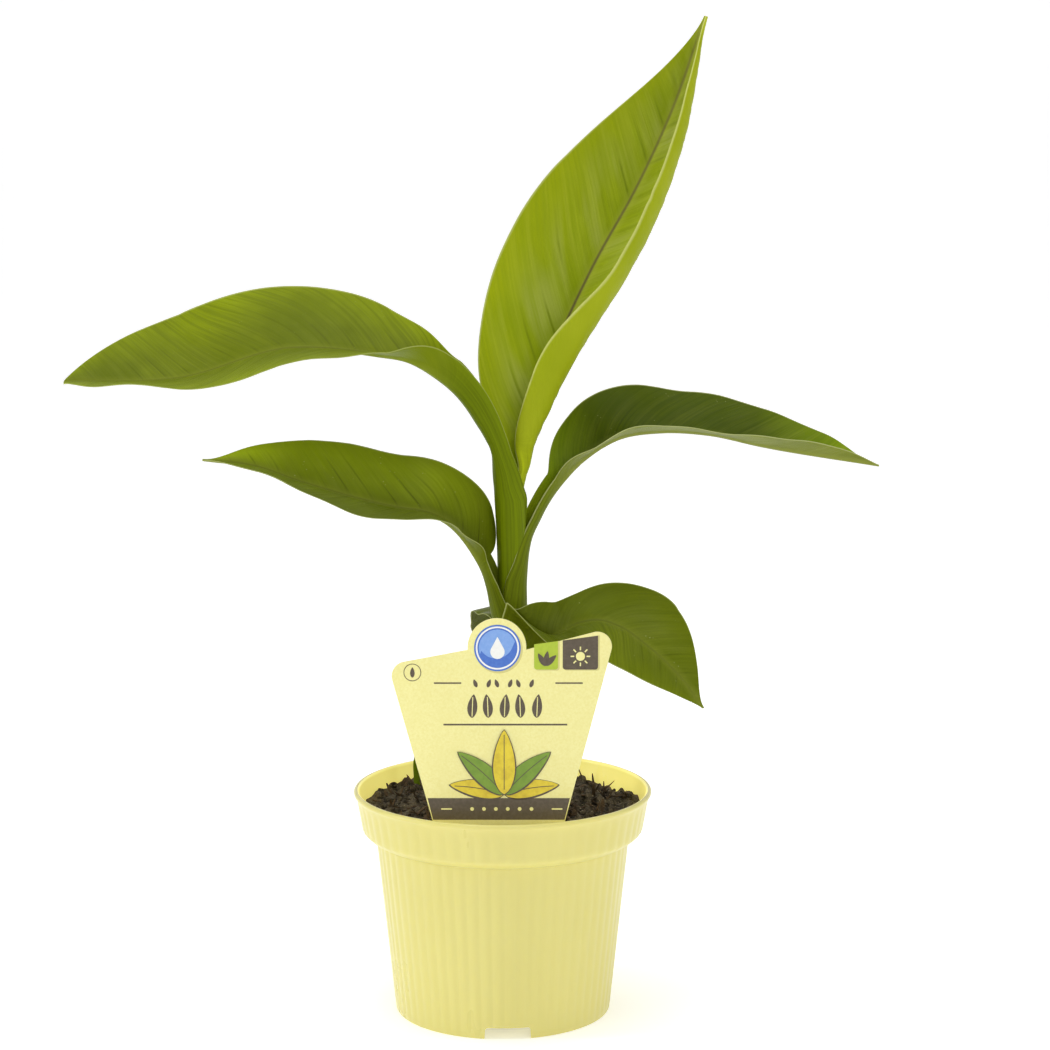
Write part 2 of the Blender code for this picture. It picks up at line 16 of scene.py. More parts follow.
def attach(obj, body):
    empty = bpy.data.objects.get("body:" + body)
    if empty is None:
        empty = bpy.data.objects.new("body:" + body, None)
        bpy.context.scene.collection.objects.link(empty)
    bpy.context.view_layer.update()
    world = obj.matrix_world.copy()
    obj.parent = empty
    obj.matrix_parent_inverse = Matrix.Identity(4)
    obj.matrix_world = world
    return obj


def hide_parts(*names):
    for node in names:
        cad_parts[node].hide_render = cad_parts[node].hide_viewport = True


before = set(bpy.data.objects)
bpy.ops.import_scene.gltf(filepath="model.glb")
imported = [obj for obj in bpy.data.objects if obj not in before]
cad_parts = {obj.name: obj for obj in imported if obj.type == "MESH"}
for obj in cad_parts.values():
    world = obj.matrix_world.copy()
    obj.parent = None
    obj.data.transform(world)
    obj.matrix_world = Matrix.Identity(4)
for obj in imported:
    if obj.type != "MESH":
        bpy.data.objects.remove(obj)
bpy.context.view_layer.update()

SEED = 7
rng = np.random.default_rng(SEED)

# ---------------------------------------------------------------- measures shared with the solids

POT_HEIGHT = 0.0987
POT_WALL = 0.0012
POT_FOOT_RADIUS = 0.0471
POT_STEP_RADIUS = 0.0553
POT_STEP_HEIGHT = 0.0773
COLLAR_FOOT_RADIUS = 0.0613
COLLAR_FOOT_HEIGHT = 0.0814
COLLAR_TOP_RADIUS = 0.0637
STEP_BULGE = 0.0006
SHOULDER_RISE = 0.0009  # keeps the wall thick on the flat slope of the shoulder
COLLAR_TOP_HEIGHT = 0.0950
LIP_RADIUS = 0.0012
LIP_OUTER_RADIUS = 0.0650
POT_FLOOR_UNDER = 0.0054
POT_FLOOR_TOP = 0.0068
FOOT_RING_WIDTH = 0.0025
PAD_RADIUS = 0.0140
NOTCH_COUNT = 3
NOTCH_WIDTH = 0.0204
NOTCH_HEIGHT = 0.0052
NOTCH_START = math.radians(-87)
DRAIN_COUNT = 6
DRAIN_RADIUS = 0.0040
DRAIN_RING_RADIUS = 0.0300
SOIL_HEIGHT = 0.0910
SOIL_EDGE_HEIGHT = 0.0895
CARD_THICKNESS = 0.0010
CARD_FOOT = (0.0, -0.0470, 0.0950)
CARD_LEAN = math.radians(5)
CARD_FOOT_LEFT = 0.0287
CARD_FOOT_RIGHT = 0.0262
CARD_SHOULDER_HALF_WIDTH = 0.0461
CARD_LEFT_HEIGHT = 0.0684
CARD_RIGHT_HEIGHT = 0.0810
CARD_CORNER_RADIUS = 0.0060
CARD_HEAD_RADIUS = 0.0122
CARD_HEAD_CENTRE = (-0.0020, 0.0745)
STAKE_HALF_WIDTH = 0.0070
STAKE_SHOULDER = -0.0060
STAKE_TIP = -0.0370
STEM_STATIONS = (
    (0.0913, 0.0020, 0.0105), (0.1100, 0.0021, 0.0088), (0.1400, 0.0026, 0.0074), (0.1720, 0.0036, 0.0062),
    (0.1950, 0.0038, 0.0057), (0.2150, 0.0038, 0.0063), (0.2360, 0.0036, 0.0071),
)
SHOULDER = 0.15  # parts of the blade's length where a leaf's fold and curl are given
MIDDLE = 0.45
SHEATH_ROW = 0.0011  # height between the rows of points down a sheath


@dataclass
class Half:
    """One half of a leaf, from the midrib to its margin."""

    stalk: tuple  # distance from midrib to margin at the sheath and at the neck
    reach: float  # greatest distance from midrib to margin
    widest: float  # part of the blade's length where it is widest
    fold: tuple  # degrees up from flat at the midrib: at foot, neck, shoulder, middle and tip
    curl: tuple  # degrees that it bends down towards the margin, at the same places
    foot_power: float = 0.7  # nearer 0 gives a rounder lobe at the blade's foot
    tip_power: float = 2.0  # larger keeps the blade wide for longer
    tip_draw: float = 1.2  # larger draws the tip out to a longer point


@dataclass
class Leaf:
    """A leaf swept along its midrib. Left and right are seen from above, looking to the tip."""

    name: str
    route: tuple  # the midrib, from its sheath to the tip
    facing: tuple  # the direction that the upper face turns to
    neck: float  # part of the midrib's length where the stalk ends
    left: Half
    right: Half
    nodes: tuple  # the CAD nodes that it stands for
    slot: str
    skin: dict  # colours of the upper face
    under: dict  # colours of the lower face
    seed: float
    sheath: tuple = ()  # (height, angle of left margin, angle of right margin, lift off the stem)
    tail: float = 0.0  # length that a foot without a sheath goes straight on down
    joined: tuple = (0, 0)  # heights where the sheath begins to take over and has taken over
    bumps: tuple = ()  # (place along, reach, side, height): waves at a margin
    vein_lean: float = 0.75
    crease: float = 0.0105  # between the stronger lateral veins
    crease_depth: float = 0.00016
    rib_depth: float = 0.0006
    ripple: float = 0.0005
    keel: float = 0.0010
    blade_thickness: float = 0.00045
    stalk_thickness: float = 0.0013
    sheath_thickness: float = 0.0006
    rows: int = 230
    columns: int = 24
    roll: tuple = (0, 0, 0, 0, 0)  # degrees that the faces turn about the midrib

    @property
    def piece(self):
        return self.name + "_blade"


LEAF_GLOSS = 0.065  # specular level of the plant's skins

# Colours of the leaves' skins, in linear light. The brightness stops along and across a blade
# are painted light and shade, and the gloss colour is a painted sheen.
YOUNG = dict(
    upper=(0.328, 0.398, 0.008), dark=(0.246, 0.316, 0.003), light=(0.419, 0.465, 0.051),
    vein_dark=(0.140, 0.188, 0.001), streaks=0.30, rough=0.40, rib=(0.140, 0.107, 0.047),
    margin=(0.520, 0.560, 0.180), foot=(0.330, 0.410, 0.004), groove=1.70, spots=0.15,
    # The gloss colour, laid on by the sheen amount, is a painted sheen.
    gloss=(0.400, 0.440, 0.090), sheen=0.62, bright=(0.330, 0.385, 0.001),
    # Painted light and shade: the foot brighter and the tip darker.
    shading_along=((0.0, 1.25), (0.40, 1.05), (0.60, 1.0), (0.85, 0.90)),
)
YOUNG_BACK = dict(
    under=(0.350, 0.400, 0.012), dark=(0.300, 0.355, 0.006), light=(0.480, 0.520, 0.040),
    margin=(0.560, 0.590, 0.180), foot=(0.390, 0.460, 0.006),
)
UPPER = dict(
    upper=(0.182, 0.228, 0.003), dark=(0.115, 0.150, 0.001), light=(0.200, 0.235, 0.016),
    vein_dark=(0.092, 0.116, 0.002), streaks=0.16, rough=0.40, rib=(0.120, 0.136, 0.016),
    margin=(0.400, 0.440, 0.120), foot=(0.185, 0.240, 0.001), groove=1.05, spots=0.15,
    # The gloss colour, laid on by the sheen amount, is a painted sheen.
    bright=(0.262, 0.330, 0.001), sheen=0.14, gloss=(0.185, 0.215, 0.030),
)
UPPER_BACK = dict(
    under=(0.200, 0.250, 0.006), dark=(0.150, 0.200, 0.002), light=(0.250, 0.300, 0.020),
    margin=(0.400, 0.440, 0.120), foot=(0.165, 0.225, 0.001),
)
OLD = dict(
    upper=(0.152, 0.189, 0.006), dark=(0.101, 0.133, 0.002), light=(0.198, 0.230, 0.020),
    vein_dark=(0.078, 0.101, 0.002), streaks=0.22, rough=0.42, rib=(0.120, 0.143, 0.014),
    margin=(0.400, 0.440, 0.150), foot=(0.135, 0.175, 0.002), groove=1.05, spots=0.60,
    # The gloss colour, laid on by the sheen amount, is a painted sheen.
    bright=(0.150, 0.190, 0.002), sheen=0.25, gloss=(0.170, 0.190, 0.045),
)
OLD_BACK = dict(
    under=(0.145, 0.175, 0.006), dark=(0.115, 0.145, 0.004), light=(0.230, 0.260, 0.035),
    margin=(0.400, 0.430, 0.150), foot=(0.145, 0.185, 0.003),
)
DARK = dict(
    upper=(0.108, 0.153, 0.001), dark=(0.070, 0.108, 0.001), light=(0.189, 0.223, 0.027),
    vein_dark=(0.061, 0.084, 0.001), streaks=0.30, rough=0.38, rib=(0.135, 0.162, 0.014),
    margin=(0.400, 0.430, 0.160), foot=(0.150, 0.190, 0.004), groove=1.05, spots=0.45,
    # Painted light: the blade brighter at its foot, where a gloss catches the light, and at its tip.
    shading_along=((0.26, 1.9), (0.38, 0.70), (0.72, 0.73), (0.92, 2.0)), sheen=0.18,
    # The gloss colour, laid on by the sheen amount, is a painted sheen.
    gloss=(0.150, 0.175, 0.030),
)
DARK_BACK = dict(
    under=(0.200, 0.230, 0.028), dark=(0.150, 0.180, 0.014), light=(0.250, 0.280, 0.050),
    margin=(0.460, 0.490, 0.200), foot=(0.155, 0.200, 0.002),
)
SHOOT = dict(
    upper=(0.240, 0.340, 0.010), dark=(0.190, 0.280, 0.006), light=(0.200, 0.260, 0.025),
    vein_dark=(0.080, 0.120, 0.005), streaks=0.35, rough=0.42, rib=(0.160, 0.210, 0.020),
    margin=(0.260, 0.320, 0.060), foot=(0.240, 0.340, 0.010),
)
SHOOT_BACK = dict(
    under=(0.240, 0.330, 0.010), dark=(0.190, 0.270, 0.006), light=(0.200, 0.250, 0.025),
    margin=(0.260, 0.320, 0.060), foot=(0.240, 0.330, 0.010),
)

UPRIGHT = Leaf(
    name="upright",
    route=(
        (0.0062, 0.0045, 0.2370), (0.0105, 0.0080, 0.2556), (0.0162, 0.0100, 0.2745),
        (0.0231, 0.0110, 0.2917), (0.0398, 0.0120, 0.3272), (0.0569, 0.0150, 0.3578),
        (0.0725, 0.0150, 0.3918), (0.0860, 0.0120, 0.4312),
    ),
    facing=(-0.10, -1.0, 0.10), neck=0.06,
    left=Half(
        stalk=(0.0065, 0.0072), reach=0.0384, widest=0.40, fold=(0, 0, 5, 12, 10),
        curl=(-150, -50, -15, -5, 0), foot_power=0.55, tip_power=2.2, tip_draw=1.6,
    ),
    right=Half(
        stalk=(0.0112, 0.0158), reach=0.0372, widest=0.40, fold=(0, 0, 0, 0, 0),
        curl=(-165, -220, -200, -138, -145), foot_power=0.5, tip_power=2.2, tip_draw=1.3,
    ),
    nodes=("upright_leaf",), slot="young_leaf", skin=YOUNG, under=YOUNG_BACK, seed=1, crease=0.0170,
    crease_depth=0.00050, vein_lean=1.05, ripple=0.0003, bumps=((0.62, 0.012, 1, -0.0006),),
    sheath_thickness=0.0008, blade_thickness=0.0008, tail=0.022,
)

UPPER_LEFT = Leaf(
    name="upper_left",
    route=(
        (-0.0026, -0.0040, 0.2366), (-0.0057, -0.0040, 0.2521), (-0.0110, -0.0030, 0.2626),
        (-0.0184, -0.0020, 0.2724), (-0.0283, 0.0000, 0.2804), (-0.0395, 0.0020, 0.2863),
        (-0.0545, 0.0040, 0.2888), (-0.0912, 0.0080, 0.2910), (-0.1390, 0.0100, 0.2779),
        (-0.1896, 0.0120, 0.2759),
    ),
    facing=(0.5, -0.25, 1.0), neck=0.22,
    left=Half(
        stalk=(0.0066, 0.0112), reach=0.0320, widest=0.45, fold=(50, 45, 20, 3, 22),
        curl=(-50, -50, 0, 0, 0), foot_power=0.9, tip_power=3.4, tip_draw=1.0,
    ),
    right=Half(
        stalk=(0.0035, 0.0112), reach=0.0385, widest=0.50, fold=(50, 45, 32, 27, 28),
        curl=(-50, -40, -10, 0, 0), foot_power=0.95, tip_power=3.4, tip_draw=1.0,
    ),
    nodes=("upper_left_stalk", "upper_left_leaf"), slot="upper_leaf", skin=UPPER, under=UPPER_BACK, seed=2,
    ripple=0.00015,
    sheath=(
        (0.1680, 45, -325, -0.0007), (0.1900, 40, -315, -0.0007), (0.2050, 35, -310, -0.0007),
        (0.2150, 25, -300, -0.0007), (0.2260, 0, -265, -0.0006), (0.2310, -30, -240, -0.0006),
        (0.2366, -53, -215, -0.0003), (0.2430, -70, -205, 0.0000), (0.2500, -92, -200, 0.0001),
        (0.2610, -143, -190, 0.0002),
    ),
    joined=(0.2620, 0.2350), stalk_thickness=0.0021, sheath_thickness=0.0010, roll=(20, 15, 0, 0, 0),
    bumps=(
        (0.20, 0.02, 1, 0.0015), (0.42, 0.06, -1, -0.0032), (0.80, 0.10, 1, 0.0008),
        (0.93, 0.06, -1, -0.0030),
    ),
)

LOWER_LEFT = Leaf(
    name="lower_left",
    route=(
        (-0.0027, -0.0040, 0.1680), (-0.0040, -0.0045, 0.1800), (-0.0063, -0.0055, 0.1905),
        (-0.0096, -0.0065, 0.2004), (-0.0150, -0.0080, 0.2095), (-0.0213, -0.0095, 0.2166),
        (-0.0308, -0.0120, 0.2223), (-0.0435, -0.0140, 0.2248), (-0.0853, -0.0210, 0.2372),
        (-0.1040, -0.0240, 0.2440), (-0.1258, -0.0260, 0.2470),
    ),
    facing=(0.5, -0.25, 1.0), neck=0.20,
    left=Half(
        stalk=(0.0066, 0.0045), reach=0.0200, widest=0.40, fold=(50, 10, 20, 4, 14),
        curl=(-50, -50, 0, 0, 0), foot_power=0.7, tip_power=2.6, tip_draw=1.5,
    ),
    right=Half(
        stalk=(0.0080, 0.0066), reach=0.0275, widest=0.42, fold=(50, 45, 43, 27, 28),
        curl=(-50, -20, 0, 0, 0), foot_power=0.41, tip_power=3.0, tip_draw=2.0,
    ),
    nodes=("lower_left_stalk", "lower_left_leaf"), slot="old_leaf",
    skin=dict(
        OLD, upper=(0.330, 0.415, 0.014), dark=(0.205, 0.268, 0.002),
        # Painted light and shade: the left half and the foot darker, the tip brighter.
        shading_across=((0.50, 0.52), (0.85, 1.0)),
        shading_along=((0.20, 0.55), (0.40, 1.0), (0.75, 1.05), (0.95, 1.45)),
    ),
    under=OLD_BACK, seed=3,
    sheath=(
        (0.1300, -20, -300, 0.0008), (0.1450, -35, -285, 0.0007), (0.1600, -55, -265, 0.0006),
        (0.1743, -76, -245, 0.0013), (0.1787, -90, -235, 0.0024), (0.1844, -115, -225, 0.0036),
        (0.1870, -135, -220, 0.0042), (0.1960, -150, -210, 0.0060),
    ),
    joined=(0.1900, 0.1700), roll=(27, 15, 0, 0, 0),
    bumps=((0.40, 0.07, 1, -0.0016), (0.54, 0.05, 1, 0.0012)),
)

RIGHT = Leaf(
    name="right",
    route=(
        (0.0092, 0.0030, 0.1880), (0.0097, 0.0035, 0.1970), (0.0119, 0.0040, 0.2085),
        (0.0197, 0.0060, 0.2257), (0.0357, 0.0090, 0.2437), (0.0509, 0.0110, 0.2521),
        (0.0683, 0.0130, 0.2545), (0.0901, 0.0150, 0.2530), (0.1120, 0.0160, 0.2480),
        (0.1642, 0.0180, 0.2387),
    ),
    facing=(-0.5, -0.25, 1.0), neck=0.243,
    left=Half(
        stalk=(0.0054, 0.0060), reach=0.0280, widest=0.38, fold=(50, 44, 45, 18, 17),
        curl=(-50, -30, 0, 0, 0), foot_power=0.72, tip_power=3.0, tip_draw=1.3,
    ),
    right=Half(
        stalk=(0.0066, 0.0058), reach=0.0220, widest=0.38, fold=(50, 50, 24, 22, 52),
        curl=(-50, -30, 0, 0, 0), foot_power=0.7, tip_power=3.0, tip_draw=1.3,
    ),
    nodes=("right_stalk", "right_leaf"), slot="old_leaf", skin=DARK, under=DARK_BACK, seed=4,
    sheath=(
        (0.1350, 160, -165, 0.0004), (0.1500, 150, -158, 0.0003), (0.1650, 130, -150, 0.0002),
        (0.1800, 110, -135, 0.0001), (0.1914, 92, -112, 0.0001), (0.1993, 80, -80, 0.0002),
        (0.2103, 65, -58, 0.0004), (0.2150, 60, -50, 0.0006),
    ),
    joined=(0.2180, 0.1980), bumps=((0.90, 0.035, -1, 0.0012), (0.965, 0.02, -1, -0.0010)),
    roll=(25, 20, 0, 0, 0), stalk_thickness=0.0017, sheath_thickness=0.0010,
)

LOWER_RIGHT = Leaf(
    name="lower_right",
    route=(
        (0.0050, -0.0085, 0.1500), (0.0085, -0.0090, 0.1575), (0.0130, -0.0100, 0.1620),
        (0.0185, -0.0115, 0.1660), (0.0250, -0.0130, 0.1706), (0.0330, -0.0145, 0.1750),
        (0.0415, -0.0165, 0.1766), (0.0505, -0.0190, 0.1742), (0.0617, -0.0230, 0.1668),
        (0.0756, -0.0270, 0.1541), (0.0858, -0.0300, 0.1409),
    ),
    facing=(-0.1, -0.5, 1.0), neck=0.19,
    left=Half(
        stalk=(0.0090, 0.0204), reach=0.0258, widest=0.50, fold=(50, 72, 25, 11, 16),
        curl=(-50, -20, 0, 10, 10), foot_power=2.3, tip_power=2.0, tip_draw=1.9,
    ),
    right=Half(
        stalk=(0.0070, 0.0262), reach=0.0210, widest=0.42, fold=(50, 88, 5, 10, 0),
        curl=(-50, -10, 20, 20, 10), foot_power=0.9, tip_power=2.0, tip_draw=1.2,
    ),
    nodes=("lower_right_stalk", "lower_right_leaf"), slot="old_leaf",
    # Painted shade: the outer left part and the foot a little darker.
    skin=dict(OLD, shading_across=((0.05, 0.88), (0.30, 1.0)), shading_along=((0.22, 0.90), (0.40, 1.0))),
    under=OLD_BACK, seed=5,
    sheath=(
        (0.0885, 105, -255, 0.0012), (0.1150, 60, -220, 0.0014), (0.1300, 30, -185, 0.0014),
        (0.1450, -5, -150, 0.0014), (0.1520, -20, -135, 0.0018),
    ),
    joined=(0.1640, 0.1480),
)

BACK = Leaf(
    name="back",
    route=(
        (0.0020, 0.0040, 0.1540), (0.0010, 0.0100, 0.1680), (0.0000, 0.0250, 0.1743),
        (-0.0005, 0.0450, 0.1706), (-0.0012, 0.0620, 0.1573), (-0.0018, 0.0750, 0.1390),
    ),
    facing=(0.0, -0.4, 1.0), neck=0.20,
    left=Half(
        stalk=(0.0070, 0.0060), reach=0.0155, widest=0.50, fold=(30, 20, -5, -12, 0),
        curl=(-60, 0, 15, 20, 10), foot_power=0.5,
    ),
    right=Half(
        stalk=(0.0070, 0.0060), reach=0.0172, widest=0.50, fold=(30, 10, -8, -12, 0),
        curl=(-60, 0, 15, 20, 10), foot_power=0.5,
    ),
    nodes=("back_stalk", "back_leaf"), slot="old_leaf",
    skin=dict(OLD, upper=(0.104, 0.120, 0.002), dark=(0.070, 0.084, 0.001)),
    under=dict(OLD_BACK, under=(0.110, 0.130, 0.003), dark=(0.088, 0.108, 0.002)), seed=6,
    sheath=(
        (0.0885, 300, -90, 0.0008), (0.1200, 255, -45, 0.0010), (0.1350, 230, -20, 0.0010),
        (0.1500, 200, 5, 0.0009), (0.1580, 185, 20, 0.0009),
    ),
    joined=(0.1640, 0.1500),
)

SHOOT_HALF = Half(
    stalk=(0.0030, 0.0038), reach=0.0050, widest=0.35, fold=(10, 10, 15, 15, 10),
    curl=(-20, -20, -20, -20, 0),
)

OFFSHOOT = Leaf(
    name="offshoot",
    route=(
        (-0.0370, 0.0360, 0.0907), (-0.0365, 0.0370, 0.0973), (-0.0345, 0.0380, 0.1086),
        (-0.0310, 0.0390, 0.1199),
    ),
    facing=(0.2, -1.0, 0.1), neck=0.06,
    left=SHOOT_HALF, right=SHOOT_HALF,
    nodes=("offshoot",), slot="young_leaf", skin=SHOOT, under=SHOOT_BACK, seed=7, rows=60, columns=12,
    crease=0.004, crease_depth=0.00006, rib_depth=0.0002, ripple=0.0, keel=0.0002, stalk_thickness=0.0005,
)

LEAVES = (UPRIGHT, UPPER_LEFT, LOWER_LEFT, RIGHT, LOWER_RIGHT, BACK, OFFSHOOT)


def unit(values):
    return np.clip(values, 0, 1)


def eased(share):
    return share * share * (3 - 2 * share)


def follow(stations, values, where):
    """Values at any places along stations, on a smooth curve through the stations' own."""
    stations = np.asarray(stations, float)
    values = np.asarray(values, float)
    slopes = np.gradient(values, stations, axis=0)
    index = np.clip(np.searchsorted(stations, where, side="right") - 1, 0, len(stations) - 2)
    span = stations[index + 1] - stations[index]
    part = (where - stations[index]) / span
    if values.ndim > 1:
        span, part = span[:, None], part[:, None]
    start, end = values[index], values[index + 1]
    rise = 2 * part**3 - 3 * part**2
    first = part**3 - 2 * part**2 + part
    last = part**3 - part**2
    return start * (1 + rise) - end * rise + span * (first * slopes[index] + last * slopes[index + 1])


def blend(stations, values, where):
    """Values at any places along stations, level at each station and eased between them."""
    index = np.clip(np.searchsorted(stations, where, side="right") - 1, 0, len(stations) - 2)
    stations = np.asarray(stations, float)
    values = np.asarray(values, float)
    part = (where - stations[index]) / (stations[index + 1] - stations[index])
    return values[index] + (values[index + 1] - values[index]) * eased(part)


def midrib(route):
    """A function from parts of the length to points on the smooth route."""
    route = np.asarray(route, float)
    chords = np.r_[0, np.cumsum(np.linalg.norm(np.diff(route, axis=0), axis=1))]
    fine = follow(chords, route, np.linspace(0, chords[-1], 400))
    steps = np.r_[0, np.cumsum(np.linalg.norm(np.diff(fine, axis=0), axis=1))]

    def place(parts):
        wanted = np.asarray(parts) * steps[-1]
        return np.stack([np.interp(wanted, steps, fine[:, axis]) for axis in range(3)], axis=1)

    return place, steps[-1]


def half_width(leaf, half, parts):
    """Distance from midrib to margin at parts of the leaf's length."""
    foot, neck = half.stalk
    blade = unit((parts - leaf.neck) / (1 - leaf.neck))
    before = unit(1 - blade / half.widest)
    after = unit((blade - half.widest) / (1 - half.widest))
    swell = (1 - before**2) ** half.foot_power * (1 - after**half.tip_power) ** half.tip_draw
    stalk = foot + (neck - foot) * unit(parts / leaf.neck)
    return np.hypot(stalk * (1 - blade) ** 3, half.reach * swell) + 0.0003


def leaf_grid(leaf):
    """Rows of points across the leaf's upper face, from the left margin to the right."""
    place, _ = midrib(leaf.route)
    parts = np.linspace(0, 1, leaf.rows + 1)
    rib = place(parts)
    step = 0.002
    ahead = place(unit(parts + step)) - place(unit(parts - step))
    tangent = ahead / np.linalg.norm(ahead, axis=1)[:, None]
    facing = np.asarray(leaf.facing, float)
    normal = facing - tangent * (tangent @ facing)[:, None]
    normal /= np.linalg.norm(normal, axis=1)[:, None]
    side = np.cross(tangent, normal)
    blade = 1 - leaf.neck
    stations = (0, leaf.neck, leaf.neck + SHOULDER * blade, leaf.neck + MIDDLE * blade, 1)
    roll = np.radians(blend(stations, leaf.roll, parts))[:, None]
    cos, sin = np.cos(roll), np.sin(roll)
    normal, side = cos * normal + sin * side, cos * side - sin * normal
    halves = []
    for sign, half in ((-1, leaf.left), (1, leaf.right)):
        width = half_width(leaf, half, parts)
        fold = np.radians(blend(stations, half.fold, parts))
        curl = np.radians(blend(stations, half.curl, parts))
        curl = np.where(np.abs(curl) < 0.001, 0.001, curl)
        points = []
        for column in range(1, leaf.columns + 1):
            share = column / leaf.columns
            turned_to = fold - curl * share
            out = width / curl * (np.sin(fold) - np.sin(turned_to))
            up = width / curl * (np.cos(turned_to) - np.cos(fold))
            points.append(rib + sign * side * out[:, None] + normal * up[:, None])
        halves.append(points)
    left, right = halves
    return np.stack([*reversed(left), rib, *right], axis=1)


# ---------------------------------------------------------------- materials


class Shader:
    """A material's node tree, with short calls to add and join nodes."""

    def __init__(self, name):
        self.material = bpy.data.materials.new(name)
        self.material.use_nodes = True
        self.tree = self.material.node_tree
        self.surface = self.tree.nodes["Principled BSDF"]

    def add(self, kind, settings=None, **inputs):
        node = self.tree.nodes.new("ShaderNode" + kind)
        for key, value in (settings or {}).items():
            setattr(node, key, value)
        for key, value in inputs.items():
            self.put(node, key, value)
        return node

    def put(self, node, key, value):
        name = key[1:] if key[0] == "i" and key[1:].isdigit() else key.replace("_", " ")
        socket = node.inputs[int(name) if name.isdigit() else name]
        if isinstance(value, bpy.types.NodeSocket):
            self.tree.links.new(value, socket)
        elif isinstance(value, tuple) and len(value) == 3 and socket.type == "RGBA":
            socket.default_value = (*value, 1)
        else:
            socket.default_value = value

    def set(self, **inputs):
        for key, value in inputs.items():
            self.put(self.surface, key, value)

    def coords(self, scale=(1, 1, 1), uv=None):
        """A place, by a UV layer or in the object's own space."""
        if uv:
            out = self.add("UVMap", {"uv_map": uv}).outputs["UV"]
        else:
            out = self.add("TexCoord").outputs["Object"]
        return self.add("Mapping", Vector=out, Scale=scale).outputs["Vector"]

    def noise(self, detail, rough, **where):
        vector = self.coords(**where)
        return self.add("TexNoise", Vector=vector, Scale=1.0, Detail=detail, Roughness=rough).outputs["Fac"]

    def grain(self, scale, detail, rough):
        """Noise in the object's own space, at one scale in all directions."""
        return self.noise(detail, rough, scale=(scale, scale, scale))

    def veined(self, across, along, detail, rough):
        """Noise drawn out along the side veins."""
        return self.noise(detail, rough, uv="vein", scale=(across, along, 1))

    def parts(self, **where):
        """The X, Y and Z of a place."""
        return self.add("SeparateXYZ", Vector=self.coords(**where)).outputs

    def ramp(self, factor, *stops):
        node = self.add("ValToRGB", Fac=factor)
        elements = node.color_ramp.elements
        while len(elements) < len(stops):
            elements.new(0.5)
        for element, (place, colour) in zip(elements, stops):
            element.position = place
            element.color = (*colour, 1) if isinstance(colour, tuple) else (colour, colour, colour, 1)
        return node.outputs["Color"]

    def math(self, operation, a, b=0.0, c=0.0):
        return self.add("Math", {"operation": operation}, i0=a, i1=b, i2=c).outputs["Value"]

    def times(self, first, *others):
        for other in others:
            first = self.math("MULTIPLY", first, other)
        return first

    def rest(self, share):
        """What the share leaves of 1."""
        return self.math("SUBTRACT", 1.0, share)

    def mix(self, factor, a, b, blend="MIX"):
        node = self.add("Mix", {"data_type": "RGBA", "blend_type": blend})
        self.put(node, "i0", factor)
        self.put(node, "i6", a)
        self.put(node, "i7", b)
        return node.outputs[2]

    def tint(self, colour, other, value, low, high, amount=None):
        """The colour, going over to another as a value goes from low to high."""
        share = self.ramp(value, (low, 0.0), (high, 1.0))
        return self.mix(share if amount is None else self.times(share, amount), colour, other)

    def bump(self, height, strength, distance):
        return self.add("Bump", Height=height, Strength=strength, Distance=distance).outputs["Normal"]


def streaked(s, neck, along, across_scale):
    """Fine streaks: along the side veins on the blade, lengthwise on the stalk and the sheath."""
    stalk = s.ramp(along, (max(neck - 0.05, 0.0), 1.0), (neck + 0.04, 0.0))
    blade = s.veined(across_scale, 0.35, 4, 0.6)
    length = s.noise(4, 0.6, uv="leaf", scale=(across_scale * 0.7, 2.2, 1))
    kept = s.times(blade, s.rest(stalk))
    return stalk, s.math("ADD", kept, s.times(length, stalk))


def shaded(s, colour, place, tone):
    """The colour times a brightness that changes by stops of (place, brightness): painted light and shade.
    """
    return s.mix(1.0, colour, s.ramp(place, *tone), "MULTIPLY") if tone else colour


def mottled(s, fine, foot):
    """A stalk's colour, streaked with a darker one."""
    return s.tint(foot, tuple(0.66 * c for c in foot), fine, 0.40, 0.60)


